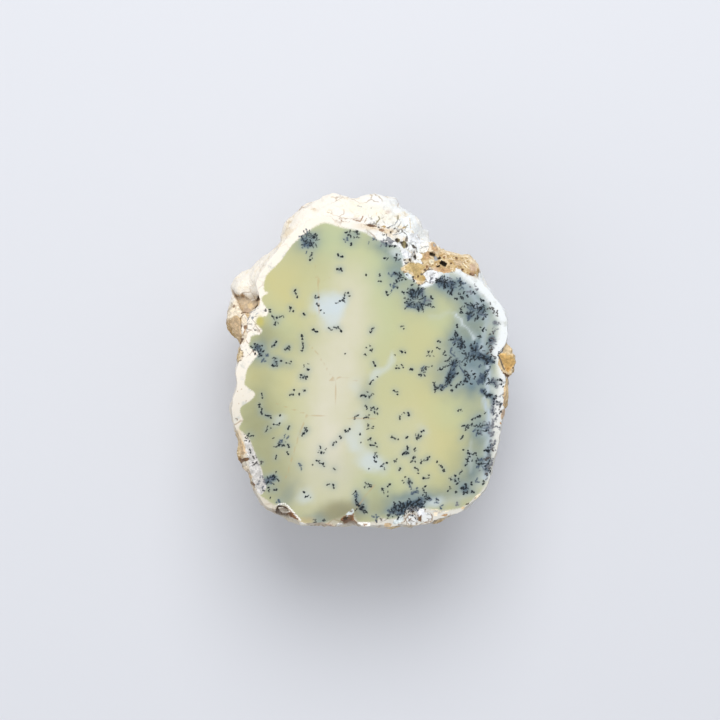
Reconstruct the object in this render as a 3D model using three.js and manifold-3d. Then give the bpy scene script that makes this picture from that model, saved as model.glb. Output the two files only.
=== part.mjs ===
// Part of a dendritic opal nodule, sawn once and polished flat on the sawn side.
// The rest of the surface is as it grew: a lumpy white porcelain-opal rind with sandy host rock on it.
// It is one natural solid, so it is one mesh.
//
// Units are millimetres. +Z is up: the nodule lies on its natural back with the polished face on top.
// X runs across the face and Y up it. Outlines are measured from a point near the middle of the face,
// and the finished stone is moved so that the origin is under the middle of its bounding box.

import * as THREE from "three";
import { ConvexGeometry } from "three/addons/geometries/ConvexGeometry.js";
import { ImprovedNoise } from "three/addons/math/ImprovedNoise.js";
import { mergeVertices } from "three/addons/utils/BufferGeometryUtils.js";
import Module from "manifold-3d";

const wasm = await Module();
wasm.setup();

// Driving dimensions
const FACE_HEIGHT = 34; // from the resting surface to the polished face
const CORE_HEIGHT = 18; // the point inside the nodule that its surface is measured from
const FOOT_DROP = 1.3; // how far the grown shape reached below the flattened patch that it rests on
const CROWN_RISE = 8; // how far the grown shape rose above the saw cut
const CORE_DETAIL = 21; // steps along each edge of the icosahedron that the nodule is shaped from
const CORE_SPREAD = [36, 40, 22]; // half sizes of the ellipsoid that spreads those steps evenly
const AXIS_RADIUS = 0.4; // where a shape closes on its axis

// How the flank runs between the face and the resting surface
const GIRTH_DEPTH = 3.5; // below the face, where the stone is widest if its side is upright
const GIRTH_DEPTH_PER_BULGE = 1.05; // added for each millimetre that the side stands out past the rim
const FLANK_FULLNESS = 2.2; // 2 is an ellipse, and more is fuller
const BACK_HALF = [30.5, 36.5]; // half sizes that the outline eases to on its way down
const BACK_SQUARENESS = 2.35;
const BACK_EASE = 15; // depth that it takes to get there
const BACK_MIDDLE = [0.5, -1.5]; // the lowest part of the back

// Edge of the polished face, clockwise from its upper left, as seen from above
const FACE_RIM = [
  [-16.9, 31.9], [-14.0, 33.8], [-10.7, 34.5], [-7.4, 33.8], [-4.0, 32.9], [-0.7, 32.1],
  [2.4, 30.7], [4.5, 29.0], [7.1, 26.9], [9.5, 25.2], [9.0, 22.9], [9.5, 20.5],
  [11.7, 18.6], [13.6, 19.0], [15.2, 21.2], [16.7, 21.2], [18.6, 20.7], [20.5, 21.4],
  [22.6, 21.0], [25.0, 19.8], [26.9, 18.6], [28.6, 16.4], [30.2, 14.3], [31.7, 12.1],
  [32.6, 9.3], [32.6, 6.2], [31.9, 3.6], [30.2, 1.7], [31.0, -1.0], [31.9, -4.0],
  [32.1, -6.9], [31.7, -9.8], [31.2, -12.9], [30.7, -16.0], [30.5, -19.0], [29.8, -21.9],
  [29.0, -24.8], [28.3, -27.6], [27.4, -30.5], [25.2, -32.6], [23.1, -34.3], [21.0, -36.2],
  [18.1, -36.9], [15.5, -37.6], [12.6, -38.8], [9.5, -39.0], [6.7, -38.8], [4.0, -39.5],
  [1.0, -39.0], [-2.1, -39.3], [-4.0, -38.1], [-5.0, -36.4], [-6.2, -37.6], [-7.6, -39.5],
  [-10.2, -38.8], [-13.3, -38.3], [-16.0, -39.0], [-17.6, -37.6], [-19.0, -36.4], [-20.7, -35.5],
  [-23.6, -35.2], [-26.0, -33.6], [-27.4, -31.2], [-28.1, -28.3], [-29.0, -25.7], [-30.0, -23.1],
  [-30.5, -20.2], [-31.2, -17.6], [-32.6, -15.2], [-33.1, -12.6], [-33.3, -10.5], [-32.6, -8.3],
  [-31.9, -6.2], [-32.1, -3.3], [-31.4, -0.2], [-31.0, 2.9], [-29.8, 5.5], [-29.0, 8.3],
  [-28.6, 11.0], [-26.2, 12.9], [-26.2, 15.0], [-26.9, 17.4], [-26.9, 20.0], [-25.0, 22.6],
  [-22.9, 25.5], [-20.7, 28.1], [-18.8, 30.0],
];

// Widest outline of the nodule itself, the same way round, without the host rock on it
const GIRTH = [
  [-20.9, 29.0], [-21.4, 31.7], [-19.8, 33.8], [-18.1, 36.0], [-16.7, 37.1], [-14.3, 37.6],
  [-11.7, 38.6], [-9.8, 40.0], [-7.4, 40.2], [-3.8, 39.8], [-0.2, 39.8], [3.1, 39.3],
  [5.5, 38.1], [6.9, 36.4], [8.8, 35.2], [11.2, 34.3], [12.9, 32.6], [13.8, 30.2],
  [14.3, 27.9], [14.5, 25.2], [15.5, 22.9], [18.1, 21.8], [21.2, 21.8], [24.5, 20.4],
  [26.9, 19.0], [28.6, 16.9], [30.2, 14.6], [31.7, 12.4], [32.7, 9.6], [32.8, 6.5],
  [32.2, 3.8], [31.3, 1.5], [31.7, -1.2], [32.3, -4.0], [32.5, -7.0], [32.4, -9.8],
  [31.7, -12.9], [31.1, -16.4], [30.3, -20.0], [29.6, -23.6], [28.6, -27.0], [27.6, -30.4],
  [25.7, -32.5], [23.5, -34.4], [21.2, -36.3], [18.1, -37.4], [14.2, -38.8], [9.4, -39.4],
  [4.0, -39.8], [-2.6, -39.6], [-7.5, -39.8], [-11.7, -39.2], [-15.7, -39.4], [-18.0, -38.4],
  [-20.4, -37.2], [-23.6, -36.2], [-26.0, -34.3], [-27.8, -31.8], [-28.8, -29.2], [-29.9, -26.2],
  [-30.7, -22.6], [-31.5, -19.3], [-32.8, -15.8], [-33.7, -12.4], [-33.5, -9.4], [-32.3, -6.0],
  [-32.1, -2.6], [-31.6, 0.4], [-31.1, 3.6], [-29.9, 7.2], [-29.2, 10.9], [-29.6, 13.4],
  [-32.0, 15.3], [-33.4, 17.4], [-32.1, 19.4], [-29.8, 21.6], [-26.9, 23.6], [-23.8, 25.6],
];

// Relief of the rind: how far apart its swells are, how high they stand, and how far below the face
// they have their full height
const SWELLS = [
  { size: 17, height: 1.9, fullDepth: 18 },
  { size: 8.5, height: 1.3, fullDepth: 13 },
  { size: 4.4, height: 0.75, fullDepth: 7 },
];
const RELIEF_START = 0.08; // share of the relief at the rim, which stays as drawn

// Lumps that the nodule and its host rock make: middle, half sizes, turn about Z in degrees, and how
// softly each runs into the rest. Heights are counted down from the polished face.
const LUMPS = [
  { at: [20.8, 20.4], below: 6.0, half: [6.3, 4.9, 5.3], turn: -24, blend: 0.8 }, // sandy ledge
  { at: [16.2, 22.6], below: 5.6, half: [3.9, 3.7, 4.6], turn: 0, blend: 0.7 }, // its inner end
  { at: [14.2, 25.7], below: 6.0, half: [2.3, 2.7, 4.6], turn: 10, blend: 0.6 }, // knob above it
  { at: [-30.4, 10.0], below: 7.4, half: [3.9, 6.0, 6.6], turn: 5, blend: 1.2 }, // left side
  { at: [-29.6, 17.6], below: 9.5, half: [4.0, 4.0, 6.5], turn: 30, blend: 1.2 }, // left shoulder
  { at: [-24.0, 20.5], below: 10.5, half: [7.5, 5.0, 6.5], turn: 33, blend: 1.8 }, // above it
  { at: [-30.6, 1.4], below: 3.6, half: [1.3, 2.6, 3.0], turn: 4, blend: 0.5 }, // flake, left side
  { at: [-30.0, -22.6], below: 4.0, half: [1.7, 3.8, 3.4], turn: 10, blend: 0.5 }, // lower left
  { at: [-10.5, 32.5], below: 11.5, half: [8.5, 7.2, 7.0], turn: 14, blend: 2.0 }, // top, left
  { at: [5.0, 31.5], below: 11.5, half: [8.5, 7.6, 7.0], turn: -14, blend: 2.0 }, // top, right
  { at: [26.0, -5.0], below: 14.0, half: [7.0, 9.0, 7.5], turn: 4, blend: 3.0 }, // right side
  { at: [18.0, -26.5], below: 14.5, half: [9.0, 8.0, 8.0], turn: 30, blend: 3.0 }, // lower right
  { at: [-10.0, -30.5], below: 14.5, half: [10.0, 7.6, 7.5], turn: -6, blend: 3.0 }, // lower side
  { at: [-24.5, -13.0], below: 15.0, half: [7.6, 9.0, 8.0], turn: -8, blend: 3.0 }, // left side
  { at: [14.5, 13.5], below: 22.5, half: [9.0, 9.5, 7.6], turn: 15, blend: 4.5 }, // back
  { at: [-14.5, 14.0], below: 22.5, half: [9.0, 10.5, 7.6], turn: -20, blend: 4.5 },
  { at: [10.5, -16.5], below: 23.5, half: [10.0, 9.0, 7.6], turn: 40, blend: 4.5 },
  { at: [-12.5, -13.5], below: 23.5, half: [8.0, 10.0, 7.6], turn: 10, blend: 4.5 },
];

// Hollows in the flank and the back, given the same way
const HOLLOWS = [
  { at: [-3.5, 40.0], below: 12.5, half: [5.0, 3.0, 3.4], turn: 8, blend: 1.6 }, // top
  { at: [13.0, 33.5], below: 13.0, half: [2.6, 4.0, 4.4], turn: -20, blend: 1.4 },
  { at: [33.5, 9.5], below: 10.5, half: [2.6, 4.4, 3.0], turn: 0, blend: 1.4 }, // right side
  { at: [32.5, -14.0], below: 8.0, half: [2.4, 3.4, 3.6], turn: 6, blend: 1.2 },
  { at: [7.5, -39.5], below: 10.0, half: [3.4, 2.6, 4.0], turn: 0, blend: 1.4 }, // lower side
  { at: [-22.0, -35.0], below: 11.0, half: [4.0, 3.2, 4.6], turn: 40, blend: 1.6 },
  { at: [-33.5, -2.5], below: 12.5, half: [3.0, 4.2, 4.2], turn: 0, blend: 1.6 }, // left side
  { at: [2.0, 24.0], below: 30.0, half: [5.5, 4.0, 3.4], turn: 20, blend: 2.2 }, // back
  { at: [24.0, -7.0], below: 28.5, half: [3.6, 5.0, 3.8], turn: 12, blend: 2.2 },
  { at: [-22.5, 3.5], below: 28.5, half: [3.6, 4.4, 3.4], turn: -10, blend: 2.0 },
  { at: [-1.5, -29.5], below: 27.5, half: [4.6, 3.4, 3.4], turn: 0, blend: 2.0 },
];

// Angular chip of host rock on the right edge: its corners, with heights counted down from the face
const CHIP_CORNERS = [
  [32.0, 4.4, 1.6], [33.2, 3.0, 1.1], [34.6, -0.3, 1.5], [33.4, -3.4, 1.9], [31.0, -4.6, 2.2],
  [30.0, 0.0, 1.0], [33.9, 1.6, 4.2], [34.2, -2.2, 5.0], [31.8, 4.0, 6.4], [31.4, -4.4, 6.8],
  [32.4, -0.4, 8.6], [29.0, 0.0, 8.0],
];

// Pits and small cavities near the face: middle, height counted down from it, half sizes, turn about Z
const RIM_PITS = [
  { at: [6.2, 29.3], below: 0.9, half: [0.9, 0.9, 1.4], turn: 0 }, // three beside the upper right rim
  { at: [8.1, 27.9], below: 0.7, half: [1.1, 1.4, 1.8], turn: 20 },
  { at: [10.5, 27.4], below: 1.6, half: [1.3, 0.8, 1.6], turn: -40 },
  { at: [17.3, 23.4], below: 1.6, half: [1.0, 0.7, 2.4], turn: -25 }, // in the sandy ledge
  { at: [14.3, 25.6], below: 1.8, half: [0.8, 0.7, 1.6], turn: 0 },
  { at: [20.4, 24.2], below: 2.6, half: [0.6, 0.55, 1.6], turn: 0 },
  { at: [-28.4, 13.8], below: 3.4, half: [3.2, 1.7, 3.4], turn: 24 }, // hollow under the left shoulder
  { at: [-20.6, -35.6], below: 0.9, half: [1.9, 0.9, 1.7], turn: -12 }, // open pocket, lower left rim
  { at: [-31.2, -24.6], below: 1.6, half: [1.0, 0.8, 2.4], turn: -30 }, // cleft, lower left side
  { at: [31.9, 1.5], below: 0.8, half: [1.4, 0.5, 1.8], turn: 8 }, // crease above the wedge
  { at: [11.5, -38.6], below: 2.4, half: [0.6, 1.2, 2.4], turn: 0 }, // crease in the lower edge
];

const PIT_DETAIL = 1;
const PIT_ROUGHNESS = 0.18;
const PIT_SWELL_SIZE = 1.1;

const relief = new ImprovedNoise();

// Noise between about -1 and 1 at a point, for swells of a given size.
function swell(x, y, z, size, seed) {
  return relief.noise(x / size + seed, y / size - seed, z / size + 3 * seed);
}

// Radius of a closed outline at a bearing, from a smooth curve through its points.
function outlineRadius(points) {
  const samples = 1440;
  const curve = new THREE.CatmullRomCurve3(
    points.map(([x, y]) => new THREE.Vector3(x, y, 0)),
    true,
    "catmullrom",
    0.5,
  );
  const polar = curve
    .getPoints(samples)
    .map((p) => [Math.atan2(p.y, p.x), Math.hypot(p.x, p.y)])
    .sort((a, b) => a[0] - b[0]);
  return (bearing) => {
    let low = 0;
    let high = polar.length - 1;
    while (high - low > 1) {
      const middle = (low + high) >> 1;
      if (polar[middle][0] <= bearing) low = middle;
      else high = middle;
    }
    const [startBearing, startRadius] = polar[low];
    const [endBearing, endRadius] = polar[high];
    const share = (bearing - startBearing) / Math.max(endBearing - startBearing, 1e-9);
    return startRadius + (endRadius - startRadius) * THREE.MathUtils.clamp(share, 0, 1);
  };
}

const rimRadius = outlineRadius(FACE_RIM);
const girthRadius = outlineRadius(GIRTH);

// Radius of the rounded outline that the back eases to, at a bearing.
function backRadius(bearing) {
  const across = Math.abs(Math.cos(bearing) / BACK_HALF[0]) ** BACK_SQUARENESS;
  const along = Math.abs(Math.sin(bearing) / BACK_HALF[1]) ** BACK_SQUARENESS;
  return (across + along) ** (-1 / BACK_SQUARENESS);
}

// Radius of the nodule at a bearing and a height: the crown that was sawn off, the bulge, then the back.
function noduleRadius(bearing, z) {
  const rim = rimRadius(bearing);
  if (z >= FACE_HEIGHT) {
    const rise = (z - FACE_HEIGHT) / CROWN_RISE;
    return rise >= 1 ? AXIS_RADIUS : rim * Math.sqrt(1 - rise * rise);
  }
  const girth = Math.max(girthRadius(bearing), rim + 0.2);
  const girthDepth = GIRTH_DEPTH + GIRTH_DEPTH_PER_BULGE * (girth - rim);
  const depth = FACE_HEIGHT - z;
  if (depth < girthDepth) {
    return rim + (girth - rim) * Math.sin((Math.PI / 2) * (depth / girthDepth));
  }
  const drop = (depth - girthDepth) / (FACE_HEIGHT - girthDepth + FOOT_DROP);
  if (drop >= 1) return AXIS_RADIUS;
  const ease = THREE.MathUtils.smoothstep(depth, girthDepth, girthDepth + BACK_EASE);
  const outline = THREE.MathUtils.lerp(girth, backRadius(bearing), ease);
  return outline * Math.sqrt(1 - drop ** FLANK_FULLNESS);
}

// Height of the natural relief at a point of the rind, fading out towards the rim.
function rindRelief(x, y, z) {
  const depth = Math.max(FACE_HEIGHT - z, 0);
  return SWELLS.reduce((sum, { size, height, fullDepth }, i) => {
    const fade = THREE.MathUtils.smoothstep(depth, 0, fullDepth);
    const share = RELIEF_START + (1 - RELIEF_START) * fade;
    return sum + share * height * swell(x, y, z, size, 11 + 7 * i);
  }, 0);
}

// Rough distance from a point to an ellipsoid, less than zero inside it.
function lumpDistance(x, y, z, { at, below, half, turn }) {
  const angle = THREE.MathUtils.degToRad(turn);
  const dx = x - at[0];
  const dy = y - at[1];
  const u = (dx * Math.cos(angle) + dy * Math.sin(angle)) / half[0];
  const v = (dy * Math.cos(angle) - dx * Math.sin(angle)) / half[1];
  const w = (z - (FACE_HEIGHT - below)) / half[2];
  return (Math.hypot(u, v, w) - 1) * Math.min(...half);
}

// The lesser of two distances, rounded where they are close.
function softLesser(a, b, blend) {
  const share = THREE.MathUtils.clamp(0.5 + (0.5 * (b - a)) / blend, 0, 1);
  return b + (a - b) * share - blend * share * (1 - share);
}

// Rough distance from a point to the stone's grown surface, less than zero inside it.
function stoneDistance(x, y, z) {
  const settled = THREE.MathUtils.clamp((FACE_HEIGHT - z) / FACE_HEIGHT, 0, 1) ** 2;
  const cx = x - BACK_MIDDLE[0] * settled;
  const cy = y - BACK_MIDDLE[1] * settled;
  let distance = Math.hypot(cx, cy) - noduleRadius(Math.atan2(cy, cx), z);
  for (const lump of LUMPS) {
    distance = softLesser(lumpDistance(x, y, z, lump), distance, lump.blend);
  }
  for (const dent of HOLLOWS) {
    distance = -softLesser(lumpDistance(x, y, z, dent), -distance, dent.blend);
  }
  return distance - rindRelief(x, y, z);
}

// Distance from the core point to the stone's surface along a direction.
function reach(direction) {
  let inside = 0;
  let outside = 70;
  for (let i = 0; i < 26; i++) {
    const t = (inside + outside) / 2;
    const z = CORE_HEIGHT + direction.z * t;
    if (stoneDistance(direction.x * t, direction.y * t, z) > 0) outside = t;
    else inside = t;
  }
  return inside;
}

// A closed mesh's geometry as a manifold-3d solid.
function solidFrom(geometry) {
  const bare = geometry.clone();
  bare.deleteAttribute("normal");
  bare.deleteAttribute("uv");
  const merged = mergeVertices(bare, 1e-4);
  const count = merged.attributes.position.count;
  const corners = merged.index ? merged.index.array : [...Array(count).keys()];
  return new wasm.Manifold(
    new wasm.Mesh({
      numProp: 3,
      vertProperties: new Float32Array(merged.attributes.position.array),
      triVerts: new Uint32Array(corners),
    }),
  );
}

// Moves every corner of a geometry by a function from place to place.
function reshape(geometry, move) {
  const position = geometry.attributes.position;
  const p = new THREE.Vector3();
  for (let i = 0; i < position.count; i++) {
    p.fromBufferAttribute(position, i);
    move(p);
    position.setXYZ(i, p.x, p.y, p.z);
  }
  return geometry;
}

function grownStone() {
  const spread = new THREE.Vector3(...CORE_SPREAD);
  const ball = new THREE.IcosahedronGeometry(1, CORE_DETAIL);
  return solidFrom(
    reshape(ball, (p) => {
      p.normalize().multiply(spread).normalize();
      p.multiplyScalar(reach(p));
      p.z += CORE_HEIGHT;
    }),
  );
}

// A rough ellipsoid to cut one of the pits by the rim with.
function rimPit({ at: [x, y], below, half, turn }) {
  const middle = new THREE.Vector3(x, y, FACE_HEIGHT - below);
  const rotation = new THREE.Quaternion().setFromAxisAngle(
    new THREE.Vector3(0, 0, 1),
    THREE.MathUtils.degToRad(turn),
  );
  const placed = new THREE.Matrix4().compose(middle, rotation, new THREE.Vector3(...half));
  const ball = new THREE.IcosahedronGeometry(1, PIT_DETAIL).applyMatrix4(placed);
  return solidFrom(
    reshape(ball, (p) => {
      const height = PIT_ROUGHNESS * swell(p.x, p.y, p.z, PIT_SWELL_SIZE, 31);
      p.addScaledVector(p.clone().sub(middle).normalize(), height);
    }),
  );
}

function hostRockChip() {
  const corners = CHIP_CORNERS.map(([x, y, below]) => new THREE.Vector3(x, y, FACE_HEIGHT - below));
  return solidFrom(new ConvexGeometry(corners));
}

// Everything between the resting surface and the saw cut.
function slab() {
  const wide = 200;
  const box = new THREE.BoxGeometry(wide, wide, FACE_HEIGHT);
  return solidFrom(box.translate(0, 0, FACE_HEIGHT / 2));
}

function stoneGeometry() {
  let stone = grownStone().add(hostRockChip());
  for (const pit of RIM_PITS) {
    stone = stone.subtract(rimPit(pit));
  }
  const { vertProperties, triVerts } = stone.intersect(slab()).getMesh();
  const geometry = new THREE.BufferGeometry();
  geometry.setAttribute("position", new THREE.BufferAttribute(vertProperties, 3));
  geometry.setIndex(new THREE.BufferAttribute(triVerts, 1));
  geometry.computeBoundingBox();
  const middle = geometry.boundingBox.getCenter(new THREE.Vector3());
  geometry.translate(-middle.x, -middle.y, 0);
  geometry.computeVertexNormals();
  return geometry;
}

const opal = new THREE.Mesh(
  stoneGeometry(),
  new THREE.MeshStandardMaterial({ color: 0xd6d4b4, roughness: 0.35, metalness: 0 }),
);
opal.name = "dendritic_opal";

const part = new THREE.Group();
part.add(opal);

export default part;
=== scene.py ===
"""Half a nodule of dendritic opal, sawn and polished flat, lying on its rough back on a pale table.

Lengths are metres in the part's own frame, +Z up. What is drawn on the stone is written in
millimetres on the polished face: X to the right and Y up it, from a point near its middle.
"""

from __future__ import annotations

import logging
import math
import random
from dataclasses import dataclass, field
from enum import Enum
from typing import Any, Iterable, Mapping, Sequence

import bmesh
import bpy
import numpy as np
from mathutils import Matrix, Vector, kdtree, noise

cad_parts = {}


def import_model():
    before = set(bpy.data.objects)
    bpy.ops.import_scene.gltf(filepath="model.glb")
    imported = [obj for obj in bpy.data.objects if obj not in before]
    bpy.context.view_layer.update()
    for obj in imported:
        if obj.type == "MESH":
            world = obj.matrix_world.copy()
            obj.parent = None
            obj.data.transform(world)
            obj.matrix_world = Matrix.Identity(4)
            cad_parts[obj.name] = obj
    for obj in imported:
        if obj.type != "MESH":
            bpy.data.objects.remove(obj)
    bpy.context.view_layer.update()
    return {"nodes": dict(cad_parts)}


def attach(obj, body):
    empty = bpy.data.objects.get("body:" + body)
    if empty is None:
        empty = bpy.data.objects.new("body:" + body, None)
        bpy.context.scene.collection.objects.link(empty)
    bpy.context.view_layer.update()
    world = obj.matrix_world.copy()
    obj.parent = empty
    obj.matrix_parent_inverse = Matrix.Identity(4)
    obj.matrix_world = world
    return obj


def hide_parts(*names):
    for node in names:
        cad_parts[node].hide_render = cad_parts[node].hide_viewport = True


LOG = logging.getLogger("dendritic_opal")

MM = 0.001
NODE = "dendritic_opal"
PIECE = "polished_nodule"
FACE_HEIGHT_MM = 34.0
FACE_SHIFT_MM = (0.0, -0.276)
"""From the part's own axis to the point that the drawing is measured from."""
FAR_OUTSIDE_MM = -20.0
"""Depth inside host rock or crumbs at a point that is nowhere near any."""
CLOUD_FALLOFF = 1.1
"""How fast a soft cloud of colour thins out; a higher value gives a smaller cloud."""

Socket = bpy.types.NodeSocket
Point = tuple[float, float]
Blob = tuple[float, float, float, float, float]

# Where the clear opal ends and its white rind begins, clockwise along the face from the upper left.
TOP_EDGE: list[Point] = [
    (-14.5, 31.2), (-12.6, 32.4), (-10.7, 32.9), (-7.4, 31.9), (-3.8, 31.2), (-1.4, 30.5),
    (1.7, 28.8), (4.5, 27.9), (6.9, 26.7), (7.6, 25.2), (7.4, 23.6), (8.1, 21.7),
    (9.2, 20.0), (10.5, 18.8), (12.1, 17.6), (14.0, 17.9), (15.4, 19.0),
]
RIGHT_EDGE: list[Point] = [
    (17.0, 20.6), (18.6, 21.2), (20.6, 20.6), (22.5, 19.1), (24.5, 17.4), (26.8, 15.1),
    (28.3, 13.2), (29.6, 11.2), (30.3, 8.5), (30.0, 5.3), (28.7, 2.3), (29.6, 0.4),
    (30.0, -1.2), (30.4, -3.3), (30.4, -5.7), (29.8, -8.1), (29.2, -10.5), (28.8, -12.9),
    (28.8, -15.2), (28.9, -18.8), (28.8, -22.4), (28.5, -25.6), (27.7, -28.6),
]
BOTTOM_EDGE: list[Point] = [
    (26.4, -30.8), (24.2, -33.0), (21.8, -34.8), (18.6, -35.5), (16.5, -35.5), (14.8, -35.4),
    (12.4, -35.0), (9.5, -34.7), (8.3, -35.7), (7.8, -36.9), (4.4, -37.7), (2.2, -37.3),
    (1.2, -38.2), (-2.2, -38.3), (-3.4, -37.9), (-4.1, -35.9), (-4.6, -35.4), (-6.8, -36.9),
    (-8.5, -37.5), (-11.4, -38.8), (-13.6, -38.8), (-16.3, -38.4), (-17.3, -37.1), (-18.7, -35.9),
    (-20.0, -34.7), (-21.2, -34.2), (-23.1, -34.2),
]
LEFT_EDGE: list[Point] = [
    (-25.5, -32.6), (-26.3, -31.9), (-25.2, -30.7), (-25.0, -29.5), (-25.5, -28.3), (-26.0, -26.0),
    (-26.9, -23.6), (-27.9, -21.2), (-28.8, -18.8), (-30.0, -17.4), (-31.4, -16.0), (-30.5, -14.0),
    (-31.2, -12.1), (-30.7, -10.7), (-28.8, -9.5), (-27.6, -8.1), (-27.9, -7.4), (-28.8, -6.7),
    (-30.0, -5.7), (-30.0, -4.5), (-29.5, -2.1), (-28.3, -0.2), (-26.9, 1.9), (-29.0, 3.3),
    (-28.8, 4.8), (-28.3, 6.0), (-26.4, 6.4), (-26.0, 7.4), (-26.9, 8.6), (-27.1, 10.2),
    (-25.0, 10.7), (-24.5, 11.9), (-25.7, 13.8), (-26.0, 15.2), (-24.5, 16.2), (-25.5, 16.9),
    (-25.0, 20.2), (-22.9, 22.4), (-21.0, 24.5), (-19.0, 27.4), (-17.6, 28.8),
]
MELT_MM = {"top": 0.4, "right": 1.0, "bottom": 0.35, "left": 0.25}
"""Half the width over which opal turns into rind, along each of those edges."""

# Tufts of black dendrite: middle, half width, half height and turn in degrees.
BLACK_MOSS: list[Blob] = [
    (-4.3, 30.0, 2.0, 1.1, -10), (6.2, 24.5, 1.0, 1.0, 0),
    (7.4, 20.2, 1.9, 1.2, -15), (6.4, 18.3, 0.7, 1.0, 0), (9.3, 17.6, 0.7, 1.0, 0),
    (11.9, 16.7, 0.8, 1.2, 0), (16.9, 18.6, 1.4, 1.2, -10), (20.4, 18.4, 1.4, 1.0, -10),
    (18.8, 16.9, 1.2, 1.0, 0), (21.7, 15.7, 0.7, 1.0, 0), (21.0, 14.8, 0.7, 0.7, 0),
    (22.9, 13.8, 0.7, 0.6, 0), (21.7, 12.1, 0.7, 1.0, 0), (22.9, 10.7, 0.7, 0.7, 40),
    (25.7, 13.2, 1.6, 0.8, -5), (26.9, 11.0, 1.0, 1.2, 0),
    (26.7, 7.6, 0.7, 0.6, 0), (26.0, 6.2, 0.6, 1.0, 0), (27.9, 4.8, 0.7, 0.7, 0),
    (21.9, 5.0, 0.6, 1.0, 0), (21.9, 2.6, 1.2, 1.2, 0), (24.6, 3.4, 1.0, 1.2, -10),
    (25.4, 0.9, 2.2, 0.8, 0), (28.0, 0.5, 1.9, 0.9, -5), (23.1, -0.5, 0.7, 1.0, -30),
    (16.4, -2.1, 0.7, 0.5, 0), (18.8, -4.0, 1.4, 0.8, 35), (12.6, -3.1, 1.0, 0.6, 30),
    (14.3, 1.7, 1.0, 0.7, -20), (23.6, -3.1, 1.4, 0.7, 30), (27.6, -7.9, 1.0, 1.0, -30),
    (19.3, -6.4, 0.7, 1.0, 0), (23.1, -5.5, 0.7, 0.6, 0), (27.6, -21.0, 1.0, 0.7, 0),
    (22.6, -15.7, 1.2, 0.7, 0), (24.5, -22.9, 1.2, 1.0, 0), (8.0, -34.9, 3.4, 0.9, 10),
    (5.0, -36.2, 1.4, 0.9, 25), (12.6, -32.6, 1.4, 1.0, 0),
    (22.6, -30.2, 1.0, 1.4, -20), (-27.7, 3.4, 0.9, 0.8, -30),
    (-26.2, 1.8, 0.8, 0.7, 0), (-28.8, -18.3, 1.0, 1.2, -20), (-23.8, -28.3, 1.9, 1.0, 8),
    (-24.8, -30.7, 0.7, 0.7, 0), (-2.9, -34.3, 1.0, 1.2, -30), (-12.1, -38.1, 1.4, 0.7, 0),
    (-22.1, -20.2, 1.4, 0.7, -10), (-24.8, 11.9, 1.0, 0.6, 0),
    (-16.0, -16.7, 1.0, 1.0, -30), (-11.7, -21.2, 1.2, 0.7, -10), (-0.7, -7.9, 1.2, 0.8, 0),
    (-0.5, -11.2, 1.2, 0.8, -30), (1.2, -11.9, 1.0, 0.7, 0), (-0.2, -16.0, 1.0, 0.8, 20),
    (-1.0, -29.5, 1.2, 0.8, 10), (10.0, -23.3, 0.7, 1.0, 0), (17.1, -25.7, 1.0, 0.8, 0),
    (11.0, -18.3, 1.0, 0.7, -20), (8.6, -21.2, 0.7, 1.0, 0), (18.6, -28.1, 0.7, 0.7, 0),
    (20.5, -28.6, 1.0, 0.7, 0), (8.3, -28.6, 1.0, 1.2, 0), (16.4, 19.5, 1.0, 0.7, 0),
]
# Fans of dendrite: root, middle heading and spread in degrees, and reach. A spread of 360 is a star.
FANS: list[Blob] = [
    (-14.8, 29.1, 0, 360, 2.7), (17.4, 20.8, -92, 120, 4.2), (10.8, 14.3, 0, 360, 3.5),
    (24.9, 11.6, 0, 360, 2.7), (20.4, 5.0, 70, 360, 2.0), (25.2, 2.2, 90, 360, 2.4),
    (26.0, -16.0, 0, 360, 2.3), (8.6, -36.8, 98, 170, 4.9), (6.4, -36.4, 120, 120, 3.4),
    (9.4, -36.0, 80, 140, 3.4), (-27.9, 3.6, -35, 100, 2.6), (-25.0, -28.6, 15, 80, 2.6),
    (12.0, -35.0, 95, 80, 2.6), (23.4, 0.8, 150, 160, 2.2), (21.6, 0.8, 212, 80, 5.2),
    (12.9, -0.9, -90, 120, 2.2), (27.2, -6.4, 75, 90, 4.4), (20.4, -2.4, 225, 50, 3.0),
]
# Tufts in the other tones, written down the same way.
SLATE_MOSS: list[Blob] = [
    (-15.7, 26.9, 1.0, 1.2, 0), (-6.0, 28.8, 1.0, 0.6, 30), (0.0, 28.8, 1.0, 0.7, 0),
    (4.5, 20.5, 1.7, 0.7, 10), (4.8, 17.4, 0.7, 1.0, -35), (20.7, 18.1, 1.7, 1.4, 0),
    (20.0, -1.0, 0.7, 1.2, 0), (17.6, -5.7, 0.7, 1.2, -30),
    (26.9, -2.6, 1.0, 1.7, -8), (26.2, -6.2, 1.2, 1.2, 0),
    (25.5, -1.2, 0.7, 0.6, 0), (28.3, -0.5, 1.0, 1.0, 0), (25.2, -28.1, 0.7, 0.7, 0),
    (26.0, -24.3, 1.0, 1.0, 0), (10.2, -30.7, 1.2, 1.0, -20), (15.0, -33.3, 1.2, 0.7, 0),
    (16.7, -34.5, 0.7, 0.7, 0), (-25.2, 0.7, 1.0, 1.0, -30), (-21.7, -33.8, 1.0, 0.7, 0),
    (-3.3, -31.9, 0.4, 1.0, 0), (-20.5, -19.0, 1.0, 1.0, 0), (-16.4, -25.0, 1.0, 0.7, 0),
    (1.2, -37.1, 1.0, 0.7, 0), (25.6, -4.4, 1.2, 1.2, 0), (23.9, 9.9, 0.8, 0.9, 0),
]
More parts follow.
